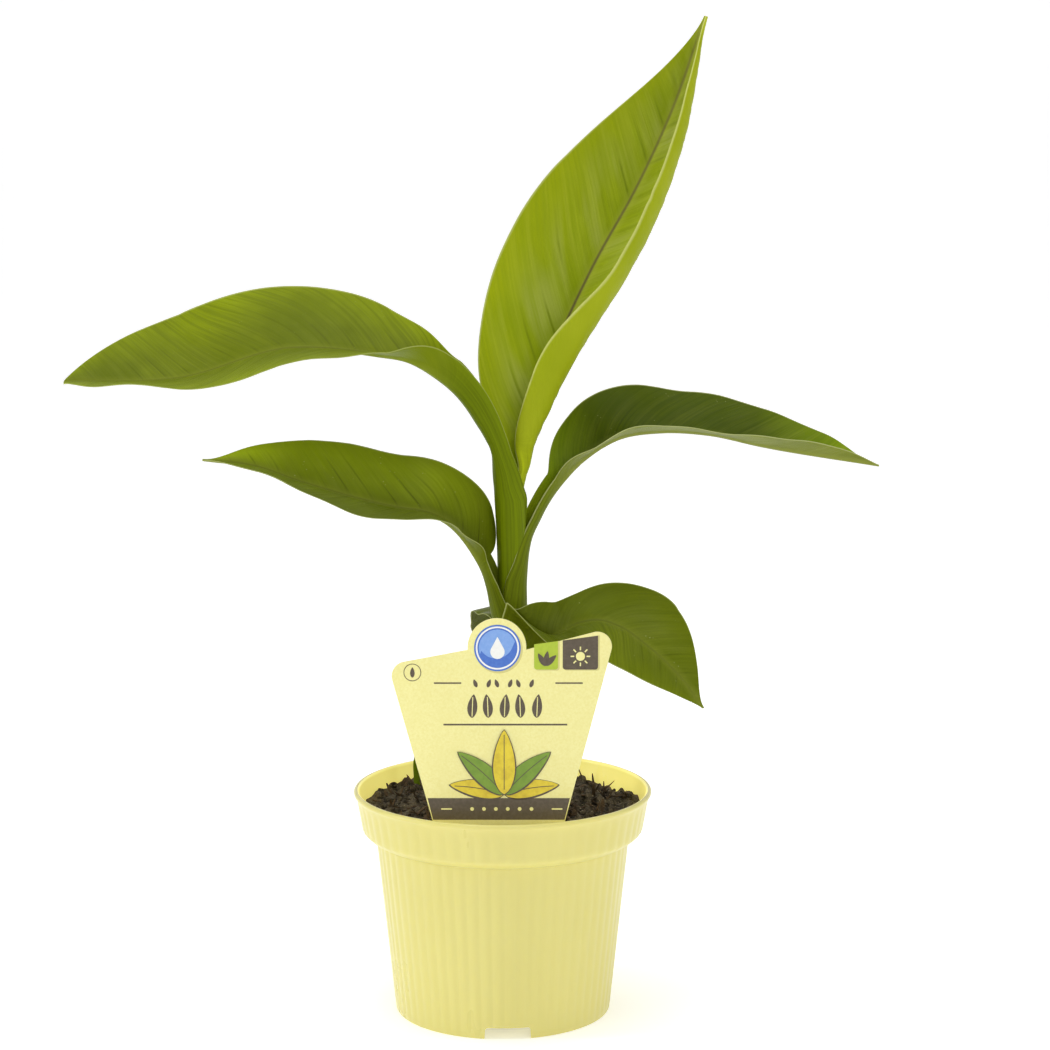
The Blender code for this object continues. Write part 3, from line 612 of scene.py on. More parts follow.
def leaf_skin(
    name, neck, upper, dark, light, vein_dark, streaks, rough, rib, margin, foot, groove=0.0,
    spots=0.35, shading_along=(), shading_across=(), gloss=(0.30, 0.33, 0.10), sheen=0.3, bright=None,
):
    """A leaf's upper face.

    The UV layer "leaf" holds (share across, share along), and "vein" (vein place, across) in cm.
    """
    s = Shader(name)
    leaf = s.parts(uv="leaf")
    across, along = leaf["X"], leaf["Y"]
    wide = s.math("ABSOLUTE", across)
    vein = s.parts(uv="vein")
    blotch = s.grain(28, 3, 0.55)
    stalk, fine = streaked(s, neck, along, 9)
    off_stalk = s.rest(stalk)
    finer = s.veined(48, 0.5, 2, 0.5)
    bands = s.veined(1.5, 0.22, 2, 0.5)
    colour = s.tint(upper, dark, blotch, 0.35, 0.68)
    colour = s.tint(colour, light, bands, 0.44, 0.62, streaks)
    colour = s.tint(colour, dark, fine, 0.44, 0.60, 0.55)
    colour = s.tint(colour, light, finer, 0.50, 0.70, 0.16)
    if groove:
        turns = s.math("FRACT", s.math("DIVIDE", vein["X"], groove))
        line = s.math("ABSOLUTE", s.math("SUBTRACT", turns, 0.5))
        fade = s.times(s.ramp(wide, (0.0, 0.6), (0.08, 1.0), (0.45, 0.75), (0.85, 0.0)), off_stalk)
        # Painted sheen: pale patches, mixed towards the gloss colour by the sheen amount, stand in for
        # highlights on the blade.
        pale = s.ramp(s.veined(0.55, 0.30, 2, 0.5), (0.46, 0.0), (0.66, 1.0))
        colour = s.mix(s.times(pale, fade, sheen), colour, gloss)
        line = s.ramp(line, (0.0, 1.0), (0.030, 0.6), (0.070, 0.0))
        broken = s.ramp(s.grain(50, 2, 0.5), (0.40, 0.15), (0.60, 1.0))
        colour = s.mix(s.times(line, fade, broken, 0.85), colour, vein_dark)
    colour = s.mix(s.times(stalk, 0.85), colour, mottled(s, fine, foot))
    rim = s.times(s.ramp(wide, (0.35, 0.0), (0.95, 0.85)), s.ramp(blotch, (0.30, 1.0), (0.75, 0.35)))
    colour = s.mix(s.times(rim, off_stalk), colour, bright or upper)
    threads = s.ramp(s.veined(6.0, 0.22, 3, 0.55), (0.47, 0.0), (0.60, 1.0))
    colour = s.mix(s.times(threads, off_stalk, 0.45), colour, dark)
    # Painted light and shade: the blade brighter where it catches the light and darker where it lies in
    # shade, along it and across it.
    colour = shaded(s, colour, along, shading_along)
    colour = shaded(s, colour, s.math("MULTIPLY_ADD", across, 0.5, 0.5), shading_across)
    near_rib = s.math("ABSOLUTE", vein["Y"])
    glow = s.times(s.ramp(near_rib, (0.0, 0.75), (0.11, 0.35), (0.30, 0.0)), off_stalk)
    colour = s.mix(glow, colour, light)
    rib_line = s.ramp(near_rib, (0.0, 1.0), (0.045, 0.6), (0.085, 0.0))
    rib_fade = s.ramp(along, (0.0, 0.0), (0.35, 1.0), (0.92, 0.6), (1.0, 0.0))
    colour = s.mix(s.times(rib_line, rib_fade), colour, rib)
    colour = s.mix(s.ramp(wide, (0.975, 0.0), (0.992, 0.9)), colour, margin)
    cells = s.coords(scale=(420, 420, 420))
    cells = s.add("TexVoronoi", Vector=cells, Scale=1.0).outputs["Distance"]
    sparse = s.ramp(s.grain(160, 1, 0.5), (0.58, 0.0), (0.66, 1.0))
    colour = s.mix(s.times(s.ramp(cells, (0.06, 1.0), (0.15, 0.0)), sparse, spots), colour, margin)
    mixed = s.math("ADD", s.times(fine, 0.5), s.times(blotch, 0.5))
    height = s.math("ADD", s.times(fine, 0.7), s.times(finer, 0.3))
    s.set(
        Base_Color=colour, Roughness=s.ramp(mixed, (0.3, rough - 0.07), (0.7, rough + 0.10)),
        Normal=s.bump(height, 0.5, 0.0005), Specular_IOR_Level=LEAF_GLOSS,
    )
    return s.material


def leaf_back(name, neck, under, dark, light, margin, foot):
    """A leaf's lower face: paler, duller, with raised fine veins."""
    s = Shader(name)
    leaf = s.parts(uv="leaf")
    along = leaf["Y"]
    wide = s.math("ABSOLUTE", leaf["X"])
    near_rib = s.math("ABSOLUTE", s.parts(uv="vein")["Y"])
    blotch = s.grain(30, 3, 0.5)
    stalk, fine = streaked(s, neck, along, 18)
    colour = s.tint(under, dark, blotch, 0.35, 0.68)
    colour = s.tint(colour, dark, fine, 0.45, 0.62, 0.35)
    colour = s.mix(s.ramp(near_rib, (0.0, 0.8), (0.16, 0.6), (0.34, 0.0)), colour, light)
    colour = s.mix(s.times(stalk, 0.95), colour, mottled(s, fine, foot))
    colour = s.mix(s.ramp(wide, (0.965, 0.0), (0.990, 0.8)), colour, margin)
    s.set(
        Base_Color=colour, Roughness=s.ramp(fine, (0.3, 0.42), (0.7, 0.55)),
        Normal=s.bump(fine, 0.5, 0.0005), Specular_IOR_Level=LEAF_GLOSS,
    )
    return s.material


def stem_skin(name):
    """Sheath skin: streaked along its length, paler and browner towards the soil, yellower at the top."""
    s = Shader(name)
    height = s.math("DIVIDE", s.parts()["Z"], 0.25)
    streak = s.noise(3, 0.55, scale=(420, 420, 9))
    blotch = s.noise(3, 0.5, scale=(60, 60, 22))
    colour = s.tint((0.15, 0.14, 0.025), (0.105, 0.148, 0.001), height, 0.36, 0.62)
    colour = s.tint(colour, (0.145, 0.185, 0.004), streak, 0.42, 0.66, 0.45)
    colour = s.tint(colour, (0.055, 0.078, 0.002), blotch, 0.5, 0.72, 0.35)
    colour = s.tint(colour, (0.290, 0.365, 0.005), height, 0.72, 0.88)
    s.set(
        Base_Color=colour, Roughness=s.ramp(streak, (0.3, 0.34), (0.7, 0.48)),
        Normal=s.bump(streak, 0.4, 0.0004), Specular_IOR_Level=LEAF_GLOSS,
    )
    return s.material


def plastic(name, glow=0.0):
    """Pale yellow moulded plastic, duller where handled. The glow is painted light through the wall."""
    s = Shader(name)
    mottle = s.noise(4, 0.55, scale=(30, 30, 12))
    grain = s.grain(1500, 2, 0.5)
    colour = s.tint((0.725, 0.662, 0.222), (0.695, 0.630, 0.202), mottle, 0.3, 0.7)
    s.set(
        Base_Color=colour, Roughness=s.ramp(mottle, (0.3, 0.26), (0.7, 0.36)),
        Normal=s.bump(grain, 0.10, 0.0001), Specular_IOR_Level=0.45,
        Subsurface_Weight=0.35, Subsurface_Scale=1.0, Subsurface_Radius=(0.0016, 0.0014, 0.0008),
        # The glow is an emission: painted light, not a lamp.
        Emission_Color=(0.80, 0.70, 0.18, 1), Emission_Strength=glow,
    )
    return s.material


def peat(name, base, dark, light):
    s = Shader(name)
    clump = s.grain(260, 5, 0.65)
    grit = s.grain(1100, 3, 0.6)
    colour = s.tint(dark, base, clump, 0.38, 0.62)
    colour = s.tint(colour, light, grit, 0.60, 0.74)
    s.set(Base_Color=colour, Roughness=0.95, Normal=s.bump(grit, 0.9, 0.0008), Specular_IOR_Level=0.25)
    return s.material


def card_paper(name, base, dark):
    """Printed card with the faint mottle of paper pulp."""
    s = Shader(name)
    pulp = s.grain(900, 4, 0.6)
    cloud = s.grain(140, 3, 0.5)
    colour = s.tint(base, dark, pulp, 0.38, 0.66)
    colour = s.tint(colour, dark, cloud, 0.4, 0.65, 0.35)
    s.set(Base_Color=colour, Roughness=0.42, Normal=s.bump(pulp, 0.12, 0.0001))
    return s.material


def ink(name, base, other, scale=700):
    s = Shader(name)
    s.set(Base_Color=s.tint(base, other, s.grain(scale, 3, 0.6), 0.4, 0.66), Roughness=0.4)
    return s.material


# ---------------------------------------------------------------- pieces


def in_scene(name, data):
    obj = bpy.data.objects.new(name, data)
    bpy.context.scene.collection.objects.link(obj)
    return obj


def add_piece(name, mesh, slot, *replaced):
    obj = in_scene(name, mesh)
    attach(obj, "root")
    if replaced:
        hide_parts(*replaced)


def smooth(mesh, angle):
    mesh.shade_smooth()
    mesh.set_sharp_from_angle(angle=math.radians(angle))


def surfaced(mesh, *materials):
    mesh.materials.clear()
    for material in materials:
        mesh.materials.append(material)


def mesh_from(name, points, faces, *materials, angle):
    mesh = bpy.data.meshes.new(name)
    mesh.from_pydata(points, [], faces)
    surfaced(mesh, *materials)
    smooth(mesh, angle)
    return mesh


def drawn(build, name):
    """The mesh that a bmesh holds."""
    mesh = bpy.data.meshes.new(name)
    build.to_mesh(mesh)
    build.free()
    return mesh


def applied(obj):
    """The object's mesh with its modifiers or its curve's thickness worked in. The object goes."""
    graph = bpy.context.evaluated_depsgraph_get()
    mesh = bpy.data.meshes.new_from_object(obj.evaluated_get(graph))
    bpy.data.objects.remove(obj)
    return mesh


def stem_at(heights):
    """Centre in X and radius of the pseudostem at these heights."""
    levels, centres, radii = np.array(STEM_STATIONS).T
    where = np.clip(heights, levels[0], levels[-1])
    return follow(levels, centres, where), follow(levels, radii, where)


def wrapped(leaf, grid):
    """The grid with its foot carried straight on down or round the pseudostem as a sheath.

    The second value counts the rows that this adds.
    """
    if leaf.tail:
        down = grid[0] - grid[1]
        down /= np.linalg.norm(down, axis=1, keepdims=True)
        steps = np.arange(leaf.tail, 0, -SHEATH_ROW)
        return np.concatenate([grid[0] + down.mean(axis=0) * steps[:, None, None], grid]), len(steps)
    if not leaf.sheath:
        return grid, 0
    stations = np.array(sorted(leaf.sheath))
    shares = np.linspace(-1, 1, grid.shape[1])

    def ring(heights):
        left, right, lift = (np.interp(heights, stations[:, 0], values) for values in stations.T[1:])
        left, right = np.radians(left)[:, None], np.radians(right)[:, None]
        centre, radius = stem_at(heights)
        turn = (left + right) / 2 + (right - left) / 2 * shares
        out = (radius + lift)[:, None]
        level = np.broadcast_to(np.asarray(heights)[:, None], turn.shape)
        return np.stack([centre[:, None] + out * np.cos(turn), out * np.sin(turn), level], axis=2)

    level = grid[:, leaf.columns, 2]
    top, full = leaf.joined
    share = unit((top - level) / (top - full))
    share[np.argmax(level > top):] = 0
    share = eased(share)[:, None, None]
    near = ring(np.clip(level, stations[0, 0], stations[-1, 0]))
    near[:, :, 2] = grid[:, :, 2] * 0.5 + near[:, :, 2] * 0.5
    joined = grid * (1 - share) + near * share
    low = np.arange(stations[0, 0], level[0] - 0.0008, SHEATH_ROW)
    return np.concatenate([ring(low), joined]), len(low)


VEIN_CURVE = 5.5  # how fast the side veins lean further out
LONG_RIPPLE = 0.047  # lengths of the two waves in a blade's ripple
SHORT_RIPPLE = 0.026
RIB_TIP_REACH = 0.0011  # half widths of the midrib's groove
RIB_FOOT_REACH = 0.0023
CREASE_REACH = 0.075  # half width of a crease, as a share of the space between two


def leaf_faces(leaf):
    """The upper face with veins in relief, the lower face below it, and each point's places on the leaf."""
    grid, extra = wrapped(leaf, leaf_grid(leaf))
    height, width, _ = grid.shape
    columns = leaf.columns
    length = midrib(leaf.route)[1]
    parts = np.linspace(0, 1, leaf.rows + 1)
    if extra:
        drop = (grid[extra, columns, 2] - grid[:extra, columns, 2]) / length
        parts = np.concatenate([-drop, parts])
    share = np.broadcast_to(np.linspace(-1, 1, width), (height, width))
    along = np.broadcast_to(parts[:, None], (height, width))
    step = np.linalg.norm(np.diff(grid, axis=1), axis=2)
    distance = np.concatenate([np.zeros((height, 1)), np.cumsum(step, axis=1)], axis=1)
    distance -= distance[:, columns:columns + 1]
    out = np.abs(distance)
    blade = unit((along - leaf.neck) / (1 - leaf.neck))
    inside = eased(unit((along - leaf.neck * 0.75) / (leaf.neck * 0.35 + 0.02)))
    vein = along * length - inside * (out * leaf.vein_lean + VEIN_CURVE * out * out)

    normal = np.cross(np.gradient(grid, axis=1), np.gradient(grid, axis=0))
    normal /= np.maximum(np.linalg.norm(normal, axis=2, keepdims=True), 1e-12)

    edge = unit(np.abs(share))
    calm = np.minimum(1, (1 - blade) * 6) * inside
    phase = leaf.seed * 1.7
    relief = leaf.ripple * edge**2 * calm * (
        np.sin(along * length * math.tau / LONG_RIPPLE + phase + share * 1.3)
        + 0.6 * np.sin(along * length * math.tau / SHORT_RIPPLE + 2.1 * phase - share * 2.0)
    )
    for place, reach, side, amount in leaf.bumps:
        near = np.exp(-((along - place) / reach) ** 2) * unit(share * side) ** 2
        relief = relief + amount * near
    crease = np.abs((vein / leaf.crease + 0.13 * np.sin(along * 31 + phase)) % 1 - 0.5)
    fade = inside * calm * unit(1.15 - edge) * unit(edge * 8)
    relief = relief - leaf.crease_depth * fade * np.exp(-((crease / CREASE_REACH) ** 2))
    relief = relief + leaf.crease_depth * 0.55 * fade * np.cos(math.tau * crease)
    rib = RIB_TIP_REACH + (RIB_FOOT_REACH - RIB_TIP_REACH) * (1 - unit(along))
    relief = relief - leaf.rib_depth * (1 - blade * 0.6) * inside * np.exp(-((out / rib) ** 2))
    upper = grid + normal * relief[:, :, None]

    thick = (leaf.stalk_thickness - leaf.blade_thickness) * (1 - inside) * np.clip(1.1 - edge**2, 0.3, 1)
    thick = leaf.blade_thickness + thick
    keel = leaf.keel * (1 - unit(along)) ** 0.8
    thick = thick + inside * (keel + 0.0002) * np.exp(-((out / (rib * 1.15)) ** 2))
    if extra:
        grown = unit(along / (leaf.neck * 0.35))
        thick = leaf.sheath_thickness * (1 - grown) + thick * grown
    thick = thick * unit((1 - edge) * 14 + 0.35)
    lower = upper - normal * thick[:, :, None]
    return upper, lower, share, along, vein, distance


def leaf_mesh(leaf, *materials):
    """A closed mesh of both faces and the rim, with the places kept as UVs."""
    upper, lower, share, along, vein, distance = leaf_faces(leaf)
    height, width = share.shape
    points = np.concatenate([upper.reshape(-1, 3), lower.reshape(-1, 3)])
    index = np.arange(height * width).reshape(height, width)
    quads = np.stack([index[:-1, :-1], index[:-1, 1:], index[1:, 1:], index[1:, :-1]], axis=-1)
    quads = quads.reshape(-1, 4)
    below = quads[:, ::-1] + height * width
    around = np.concatenate([index[0, :-1], index[:-1, -1], index[-1, :0:-1], index[:0:-1, 0]])
    beside = np.roll(around, -1)
    rim = np.stack([beside, around, around + height * width, beside + height * width], axis=-1)
    faces = np.concatenate([quads, below, rim])
    mesh = mesh_from(leaf.piece, points.tolist(), faces.tolist(), *materials, angle=70)
    backs = np.concatenate([np.zeros(len(quads), int), np.ones(len(below) + len(rim), int)])
    mesh.polygons.foreach_set("material_index", backs)
    corners = np.empty(len(mesh.loops), int)
    mesh.loops.foreach_get("vertex_index", corners)
    corners %= height * width
    for label, u, v in (("leaf", share, along), ("vein", vein * 100, distance * 100)):
        layer = mesh.uv_layers.new(name=label)
        pairs = np.stack([u.ravel()[corners], v.ravel()[corners]], axis=1)
        layer.data.foreach_set("uv", pairs.ravel())
    return mesh


STEM_SIDES = 72
STEM_RINGS = 150
STEM_TOP = 0.2290
CORE_INSET = 0.0015  # the sheaths make up the rest of the stem's radius


def make_stem(material):
    levels = np.linspace(STEM_STATIONS[0][0], STEM_TOP, STEM_RINGS)
    centre, radius = stem_at(levels)
    radius = radius - CORE_INSET * unit((levels - 0.115) / 0.03)
    turns = np.arange(STEM_SIDES) * math.tau / STEM_SIDES
    ridges = 0.00010 * np.sin(turns * 17)[None, :] + 0.00008 * np.sin(turns * 29 + levels[:, None] * 20)
    swell = 0.0006 * np.exp(-(((levels - 0.100) / 0.007) ** 2))
    collars = 0
    for height, lean in ((0.1035, 200), (0.1130, 20), (0.1240, 150)):
        away = levels[:, None] - height - 0.004 * np.cos(turns - math.radians(lean))
        collars = collars + 0.0005 * np.exp(-((away / 0.0012) ** 2))
    out = radius[:, None] + swell[:, None] + ridges + collars
    level = np.broadcast_to(levels[:, None], out.shape)
    points = np.stack([centre[:, None] + out * np.cos(turns), out * np.sin(turns), level], axis=2)
    points = points.reshape(-1, 3)
    index = np.arange(len(points)).reshape(len(levels), STEM_SIDES)
    beside = np.roll(index, -1, axis=1)
    quads = np.stack([index[:-1], beside[:-1], beside[1:], index[1:]], axis=-1).reshape(-1, 4).tolist()
    faces = [*quads, index[0][::-1].tolist(), index[-1].tolist()]
    mesh = mesh_from("pseudostem_skin", points.tolist(), faces, material, angle=50)
    add_piece("pseudostem_skin", mesh, "stem_skin", "pseudostem")


# ---------------------------------------------------------------- pot


def on_circle(radius, turn, height):
    return (radius * math.cos(turn), radius * math.sin(turn), height)


def arc(centre, radius, start, end, count):
    """Points round an arc, its angles in degrees."""
    turns = [math.radians(start + (end - start) * i / count) for i in range(count + 1)]
    return [(centre[0] + radius * math.cos(t), centre[1] + radius * math.sin(t)) for t in turns]


FLUTES = 62
FLUTE_START = math.radians(-1.9)
FLUTE_DEPTH = 0.00032
SIDES = FLUTES * 8


def pot_profile():
    """(radius, height, share of the flutes) from the floor's middle, up the inside and down the outside."""
    rise = COLLAR_FOOT_HEIGHT - POT_STEP_HEIGHT
    run = COLLAR_FOOT_RADIUS - POT_STEP_RADIUS
    taper = (POT_STEP_RADIUS - POT_FOOT_RADIUS) / POT_STEP_HEIGHT
    span = math.hypot(rise, run)
    shoulder = []
    for share in np.linspace(0, 1, 13):
        bulge = STEP_BULGE * math.sin(math.pi * share) ** 0.8
        radius = COLLAR_FOOT_RADIUS - run * share + bulge * rise / span
        height = COLLAR_FOOT_HEIGHT - rise * share - bulge * run / span
        shoulder.append((radius, height, math.cos(math.pi * share) ** 2 * 0.8))
    collar = []
    for share in np.linspace(0, 1, 7)[:-1]:
        radius = COLLAR_TOP_RADIUS + (COLLAR_FOOT_RADIUS - COLLAR_TOP_RADIUS) * share
        height = COLLAR_TOP_HEIGHT + (COLLAR_FOOT_HEIGHT - COLLAR_TOP_HEIGHT) * share
        collar.append((radius, height, min(1, share * 6)))
    body = [
        (POT_FOOT_RADIUS + taper * height, height, min(1.0, height / 0.006))
        for height in np.linspace(POT_STEP_HEIGHT, 0.0008, 16)[1:]
    ]
    foot = [(POT_FOOT_RADIUS - 0.0002, 0.0002, 0), (POT_FOOT_RADIUS - 0.0006, 0, 0)]
    inner = [(r - POT_WALL, h + SHOULDER_RISE, 0) for r, h, _ in reversed(collar + shoulder)]
    low = POT_FOOT_RADIUS + taper * POT_FLOOR_TOP - POT_WALL
    floor = [(0, POT_FLOOR_TOP, 0), (low - 0.002, POT_FLOOR_TOP, 0), (low, POT_FLOOR_TOP + 0.002, 0)]
    middle = LIP_OUTER_RADIUS - LIP_RADIUS
    top = POT_HEIGHT - LIP_RADIUS
    lip = [(*point, 0) for point in arc((middle, top), LIP_RADIUS, 180, -60, 20)]
    ring = POT_FOOT_RADIUS - FOOT_RING_WIDTH
    under = [
        (ring + 0.0005, 0, 0), (ring, 0.0005, 0), (ring - 0.0002, POT_FLOOR_UNDER - 0.0006, 0),
        (ring - 0.0008, POT_FLOOR_UNDER, 0), (PAD_RADIUS + 0.0006, POT_FLOOR_UNDER, 0),
        (PAD_RADIUS, POT_FLOOR_UNDER - 0.0006, 0), (PAD_RADIUS, 0.0003, 0), (PAD_RADIUS - 0.0003, 0, 0),
        (0, 0, 0),
    ]
    return floor + inner + lip + collar + shoulder + body + foot + under


def make_pot(material, inside):
    profile = pot_profile()
    turns = np.arange(SIDES) * math.tau / SIDES
    wave = (0.5 - 0.5 * np.cos((turns - FLUTE_START) * FLUTES)) ** 0.6 - 1
    build = bmesh.new()
    rings = []
    for radius, height, share in profile:
        if radius == 0:
            rings.append([build.verts.new((0, 0, height))])
            continue
        out = radius + FLUTE_DEPTH * share * wave
        rings.append([build.verts.new(on_circle(r, t, height)) for r, t in zip(out, turns)])
    for upper, lower in zip(rings, rings[1:]):
        for side in range(SIDES):
            beside = (side + 1) % SIDES
            if len(upper) == 1:
                build.faces.new((upper[0], lower[side], lower[beside]))
            elif len(lower) == 1:
                build.faces.new((upper[side], lower[0], upper[beside]))
            else:
                build.faces.new((upper[side], lower[side], lower[beside], upper[beside]))
    bmesh.ops.recalc_face_normals(build, faces=build.faces)
    obj = in_scene("pot_uncut", drawn(build, "pot_uncut"))
    modifier = obj.modifiers.new("notches", "BOOLEAN")
    modifier.solver = "EXACT"
    cutter = notch_cutter()
    modifier.object = cutter
    shell = applied(obj)
    bpy.data.objects.remove(cutter)
    shell.name = "pot_shell"
    surfaced(shell, material, inside)
    # The inner wall above the step takes the glowing copy of the plastic: painted light through the wall.
    for face in shell.polygons:
        middle = face.center
        inward = -face.normal.x * middle.x - face.normal.y * middle.y
        turned_in = inward > 0.4 * math.hypot(middle.x, middle.y)
        face.material_index = int(middle.z > POT_STEP_HEIGHT and turned_in)
    smooth(shell, 35)
    add_piece("pot_shell", shell, "pot_plastic", "pot")


def notch_cutter():
    """Rounded slots through the foot ring, and the round drain holes, as one cutter."""
    build = bmesh.new()
    corner = 0.0009
    half_foot, half_top = NOTCH_WIDTH / 2, NOTCH_WIDTH / 2 * 0.93
    section = [(-half_foot, -0.004), (-half_top - 0.0002, NOTCH_HEIGHT - corner)]
    section += arc((-half_top + corner, NOTCH_HEIGHT - corner), corner, 180, 90, 4)[1:]
    section += [(-x, z) for x, z in reversed(section)]
    for index in range(NOTCH_COUNT):
        turn = NOTCH_START + index * math.tau / NOTCH_COUNT
        cos, sin = math.cos(turn), math.sin(turn)
        near, far = (
            [build.verts.new((along * cos - x * sin, along * sin + x * cos, z)) for x, z in section]
            for along in (POT_FOOT_RADIUS - 2 * FOOT_RING_WIDTH, POT_FOOT_RADIUS + 2 * FOOT_RING_WIDTH)
        )
        build.faces.new(near)
        build.faces.new(list(reversed(far)))
        for k in range(len(near)):
            n = (k + 1) % len(near)
            build.faces.new((near[n], near[k], far[k], far[n]))
    middle = (POT_FLOOR_UNDER + POT_FLOOR_TOP) / 2
    for index in range(DRAIN_COUNT):
        turn = (index + 0.5) * math.tau / DRAIN_COUNT
        made = bmesh.ops.create_cone(
            build, cap_ends=True, segments=40, radius1=DRAIN_RADIUS, radius2=DRAIN_RADIUS, depth=0.004
        )["verts"]
        bmesh.ops.translate(build, verts=made, vec=on_circle(DRAIN_RING_RADIUS, turn, middle))
    bmesh.ops.recalc_face_normals(build, faces=build.faces)
    return in_scene("notch_cutter", drawn(build, "notch_cutter"))


# ---------------------------------------------------------------- soil


def pot_inner_radius(height):
    """Radius of the pot's inner wall at a height on the collar or body."""
    outline = [(r - POT_WALL, h) for r, h, share in pot_profile() if share > 0]
    outline.sort(key=lambda point: point[1])
    radii, heights = zip(*outline)
    return float(np.interp(height, heights, radii))


def hills(x, y):
    """Lumpy rises of the soil, from sines in many directions."""
    total = 0.0
    for wave, (angle, length, size, phase) in enumerate(SOIL_WAVES):
        way = x * math.cos(angle) + y * math.sin(angle)
        total = total + size * np.sin(way / length * math.tau + phase + wave)
    return total


SOIL_WAVES = [  # angle, length, height and phase
    (rng.uniform(0, math.tau), length, size, rng.uniform(0, math.tau))
    for length, size in (
        (0.052, 0.0007), (0.038, 0.0006), (0.027, 0.0006), (0.019, 0.0006), (0.014, 0.0005),
        (0.010, 0.0005), (0.0075, 0.0004), (0.0058, 0.0004), (0.0046, 0.0003), (0.0037, 0.0003),
    )
]


def soil_level(x, y):
    distance = np.hypot(x, y)
    rim = unit((distance - 0.030) / 0.030)
    calm = unit((distance - 0.012) / 0.006)
    side = 0.0008 * np.sin(np.arctan2(y, x) * 3 + 0.6)
    return SOIL_HEIGHT - 0.0002 - 0.0012 * rim**2 + (hills(x, y) + side * rim) * calm


def make_soil(material):
    rings, sides = 84, 260
    edge = pot_inner_radius(SOIL_EDGE_HEIGHT) - 0.0002
    turns = np.arange(sides) * math.tau / sides
    points = []
    for k in range(1, rings + 1):
        distance = edge * (k / rings) ** 0.8
        x, y = distance * np.cos(turns), distance * np.sin(turns)
        points.append(np.stack([x, y, soil_level(x, y)], axis=1))
    ledge, low = COLLAR_FOOT_HEIGHT + SHOULDER_RISE + 0.0008, POT_FLOOR_TOP + 0.0003
    sides_down = (
        (ledge, pot_inner_radius(ledge) - 0.0004), (ledge - 0.0002, POT_STEP_RADIUS - POT_WALL - 0.0006),
        (low, pot_inner_radius(low) - 0.0004),
    )
    for height, radius in sides_down:
        level = np.full(sides, height)
        points.append(np.stack([radius * np.cos(turns), radius * np.sin(turns), level], axis=1))
    points = np.concatenate([[[0, 0, float(soil_level(0.0, 0.0))]], *points, [[0, 0, low]]])
    faces = []
    count = rings + len(sides_down)
    for side in range(sides):
        beside = (side + 1) % sides
        faces.append((0, 1 + side, 1 + beside))
        for k in range(count - 1):
            a, b = 1 + k * sides, 1 + (k + 1) * sides
            faces.append((a + side, b + side, b + beside, a + beside))
        last = 1 + (count - 1) * sides
        faces.append((last + side, len(points) - 1, last + beside))
    mesh = mesh_from("peat_fill", points.tolist(), faces, material, angle=40)
    add_piece("peat_fill", mesh, "peat", "soil")


SOIL_EDGE = 0.0595  # how far out the scattered bits reach
STEM_CLEARANCE = 0.013


def soil_place(outer=SOIL_EDGE):
    """A random place on the soil, clear of the stem, the label's stake and the offshoot."""
    while True:
        distance = outer * math.sqrt(rng.uniform((STEM_CLEARANCE / outer) ** 2, 1))
        turn = rng.uniform(0, math.tau)
        x, y = distance * math.cos(turn), distance * math.sin(turn)
        if not (abs(x) < 0.030 and -0.0500 < y < -0.0445) and math.hypot(x + 0.037, y - 0.036) > 0.005:
            return x, y


def scattered(name, count, make, material):
    """Many small closed bodies on the soil, joined in one piece."""
    build = bmesh.new()
    for _ in range(count):
        make(build)
    mesh = drawn(build, name)
    surfaced(mesh, material)
    smooth(mesh, 35)
    add_piece(name, mesh, "peat")


def crumb(build):
    """A lump of peat, pushed out of round."""
    x, y = soil_place()
    size = rng.choice([0.0006, 0.0009, 0.0013, 0.0019], p=[0.35, 0.35, 0.22, 0.08])
    if math.hypot(x, y) + size * 1.6 > SOIL_EDGE + 0.0010:
        return
    made = bmesh.ops.create_icosphere(build, subdivisions=2, radius=1)["verts"]
    stretch = Vector(rng.uniform(0.6, 1.35, 3))
    turn = Matrix.Rotation(rng.uniform(0, math.tau), 3, Vector(rng.normal(size=3)).normalized())
    phases = rng.uniform(0, math.tau, 6)
    rise = size * rng.uniform(-0.1, 0.8)
    for vertex in made:
        p = vertex.co
        knock = 1 + 0.20 * math.sin(3.1 * p.x + phases[0]) * math.sin(2.7 * p.y + phases[1])
        knock += 0.16 * math.sin(6.3 * p.z + phases[2]) * math.sin(5.1 * p.x + phases[3])
        p = turn @ Vector((p.x * stretch.x, p.y * stretch.y, p.z * stretch.z)) * (size * knock)
        vertex.co = p + Vector((x, y, float(soil_level(x, y)) + rise))


def strip(build, start, direction, length, width, thick, bend, taper=0.35, pieces=7):
    """A bent flat shred or fibre with a four-sided section, closed at both ends."""
    forward = Vector(direction).normalized()
    side = forward.cross(Vector((0, 0, 1)))
    side = side.normalized() if side.length > 0.05 else Vector((1, 0, 0))
    up = side.cross(forward)
    rings = []
    place = Vector(start)
    for k in range(pieces + 1):
        share = k / pieces
        scale = 1 - (1 - taper) * abs(2 * share - 0.8) ** 1.5 / 1.4
        w, t = width / 2 * max(scale, 0.1), thick / 2 * max(scale, 0.2)
        corners = ((-1, -1), (1, -1), (1, 1), (-1, 1))
        rings.append([build.verts.new(place + side * a * w + up * b * t) for a, b in corners])
        forward = (Matrix.Rotation(bend / pieces, 3, side) @ forward).normalized()
        up = side.cross(forward)
        place = place + forward * (length / pieces)
    for near, far in zip(rings, rings[1:]):
        for k in range(4):
            n = (k + 1) % 4
            build.faces.new((near[k], near[n], far[n], far[k]))
    build.faces.new(rings[0][::-1])
    build.faces.new(rings[-1])


